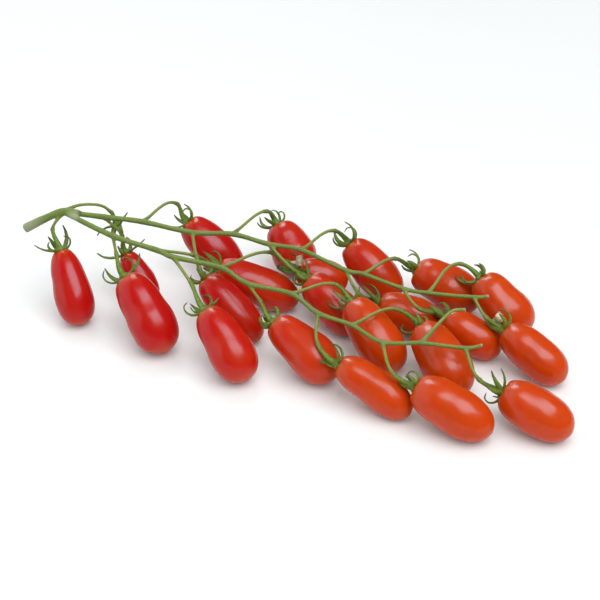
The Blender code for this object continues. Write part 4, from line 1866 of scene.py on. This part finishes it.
@dataclass
class Studio:
    """White table, white surroundings and soft light."""

    table_radius: float = 0.8
    table_drop: float = 0.00005
    table_sides: int = 128
    sky_strength: float = 0.72
    gloss_dim: float = 0.04
    gloss_left: float = 1.7
    left_edge: float = -0.34
    left_sharpness: float = 6.0
    key_radiance: float = 2.7
    key_side: float = 2.1
    key_place: tuple = (0.81, -0.39, 1.86)
    gleam_radiance: float = 8.8
    gleam_sides: tuple = (0.32, 0.37, 0.42)
    gleam_stretch: float = 1.5
    gleam_place: tuple = (0.27, -0.13, 0.61)
    gleam_gap: float = 0.01
    window_radiance: float = 11.5
    window_side: float = 0.4
    window_place: tuple = (-0.40, 0.47, 0.79)

    def table(self) -> None:
        """The table, which isn't part of the truss."""
        radius = self.table_radius
        turns = [math.tau * step / self.table_sides for step in range(self.table_sides)]
        rim = [(math.cos(turn) * radius, math.sin(turn) * radius) for turn in turns]
        mesh = bpy.data.meshes.new("table")
        mesh.from_pydata([(x, y, -self.table_drop) for x, y in rim], [], [range(len(rim))])
        mesh.materials.append(WhiteTable().build())
        linked("table", mesh)

    def sky(self) -> None:
        """White all round for the camera; gloss sees it bright on the left and dim elsewhere."""
        world = bpy.data.worlds.new("studio")
        world.use_nodes = True
        bpy.context.scene.world = world
        graph = Graph(world.node_tree)
        background = world.node_tree.nodes["Background"]
        rays = graph.node("ShaderNodeLightPath").outputs
        glossy = Field(graph, rays["Is Glossy Ray"])
        camera = Field(graph, rays["Is Camera Ray"])
        way = Arrow(graph, graph.node("ShaderNodeTexCoord").outputs["Generated"])
        east, _, _ = way.parts()
        left = ((self.left_edge - east) * self.left_sharpness).clamped()
        dim = self.gloss_dim + left * self.gloss_left
        strength = glossy * dim + (1.0 - glossy) * self.sky_strength
        graph.feed(background.inputs["Color"], (1.0, 1.0, 1.0))
        graph.feed(background.inputs["Strength"], strength * (1.0 - camera) + camera)

    def lamp(
        self, name: str, place: Vector, side: float, radiance: float, stretch: float = 1.0
    ) -> bpy.types.Object:
        """One lamp that faces the truss.

        Args:
            name: its name.
            place: where it hangs.
            side: its height.
            radiance: how bright its face is.
            stretch: how much wider than high it is.

        Returns:
            The lamp.
        """
        light = bpy.data.lights.new(name, "AREA")
        light.shape = "RECTANGLE"
        light.size = side * stretch
        light.size_y = side
        light.energy = math.pi * light.size * light.size_y * radiance
        piece = linked(name, light)
        piece.location = place
        piece.rotation_euler = (-place).to_track_quat("-Z", "Y").to_euler()
        return piece

    def lamps(self) -> None:
        """A wide lamp that only lights, and nested ones that only gleam, for a soft-edged gleam."""
        key = self.lamp("key", Vector(self.key_place), self.key_side, self.key_radiance)
        key.visible_glossy = False
        place = Vector(self.window_place)
        window = self.lamp("window", place, self.window_side, self.window_radiance)
        window.visible_diffuse = False
        share = self.gleam_radiance / len(self.gleam_sides)
        for number, side in enumerate(self.gleam_sides):
            place = Vector(self.gleam_place) + Vector((0, 0, self.gleam_gap * number))
            gleam = self.lamp(f"gleam_{number}", place, side, share, self.gleam_stretch)
            gleam.visible_diffuse = False

    def build(self) -> None:
        """Set up the whole studio."""
        self.table()
        self.sky()
        self.lamps()
        bpy.context.scene.view_settings.view_transform = "Standard"


@dataclass
class PhotoCamera:
    """Camera at the photograph's angle."""

    azimuth: float = 25.0
    elevation: float = 35.0
    distance: float = 0.9
    target: tuple = (-0.0044, 0.0, 0.020)
    pixels_per_mm: float = 1.78
    pixels: int = 600
    sensor: float = 36.0

    def build(self) -> None:
        """Place the camera and make it the scene's."""
        turn = math.radians(self.azimuth)
        tilt = math.radians(self.elevation)
        level = Vector((-math.sin(turn), math.cos(turn), 0))
        forward = level * math.cos(tilt) - Vector((0, 0, math.sin(tilt)))
        right = Vector((math.cos(turn), math.sin(turn), 0))
        camera = bpy.data.cameras.new("camera")
        camera.sensor_width = self.sensor
        seen = self.pixels / self.pixels_per_mm * MM
        camera.lens = self.sensor * self.distance / seen
        piece = linked("camera", camera)
        axes = Matrix((right, right.cross(forward), -forward)).transposed().to_4x4()
        place = Vector(self.target) - forward * self.distance
        piece.matrix_world = Matrix.Translation(place) @ axes
        bpy.context.scene.camera = piece


def clear_extras() -> None:
    """Remove whatever the scene held beside the frame."""
    kept = {*frame["nodes"].values(), *frame["bodies"].values()}
    for item in list(bpy.data.objects):
        if item not in kept:
            bpy.data.objects.remove(item)


def main() -> None:
    """Dress the truss."""
    logging.basicConfig(level=logging.INFO, format="%(name)s %(message)s")
    clear_extras()
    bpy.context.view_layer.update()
    PhotoCamera().build()
    Studio().build()
    skin_shape, strand_shape = skin_rule(), strand_rule()
    ripe, blade_green = RipeSkin().build(), GreenBlade().build()
    fruits = [Fruit(row) for row in TOMATOES]
    stalk = Stalk(fruits)
    joints = stalk.joints()
    calyces = []
    for fruit in fruits:
        fruit.build(skin_shape, ripe)
        number = fruit.row.number
        root = joints[fruit.row.joint]
        calyces.append(Calyx(f"calyx_{number:02d}", fruit.seat(), root, SEPALS[number]))
    knuckle, before = Vector(BARREN_PEDICEL[-1]), Vector(BARREN_PEDICEL[-2])
    base = Vector(BARREN_BASE)
    barren = Seat.free(base, knuckle - base, knuckle)
    calyces.append(Calyx("calyx_barren", barren, before, BARREN_SEPALS))
    for calyx in calyces:
        calyx.build(strand_shape, blade_green)
    straw = DryStraw().build()
    for name, foot, way in FLOWERS:
        place = Vector(foot)
        seat = Seat.free(place, Vector(way), place)
        DriedFlower(name, seat, place, PETALS).build(strand_shape, straw)
    green = stalk.build(calyces, strand_shape, bark_rule(), GreenStem().build())
    StalkHairs().build(green, hair_rule(), PaleHair().build())


if __name__ == "__main__":
    main()
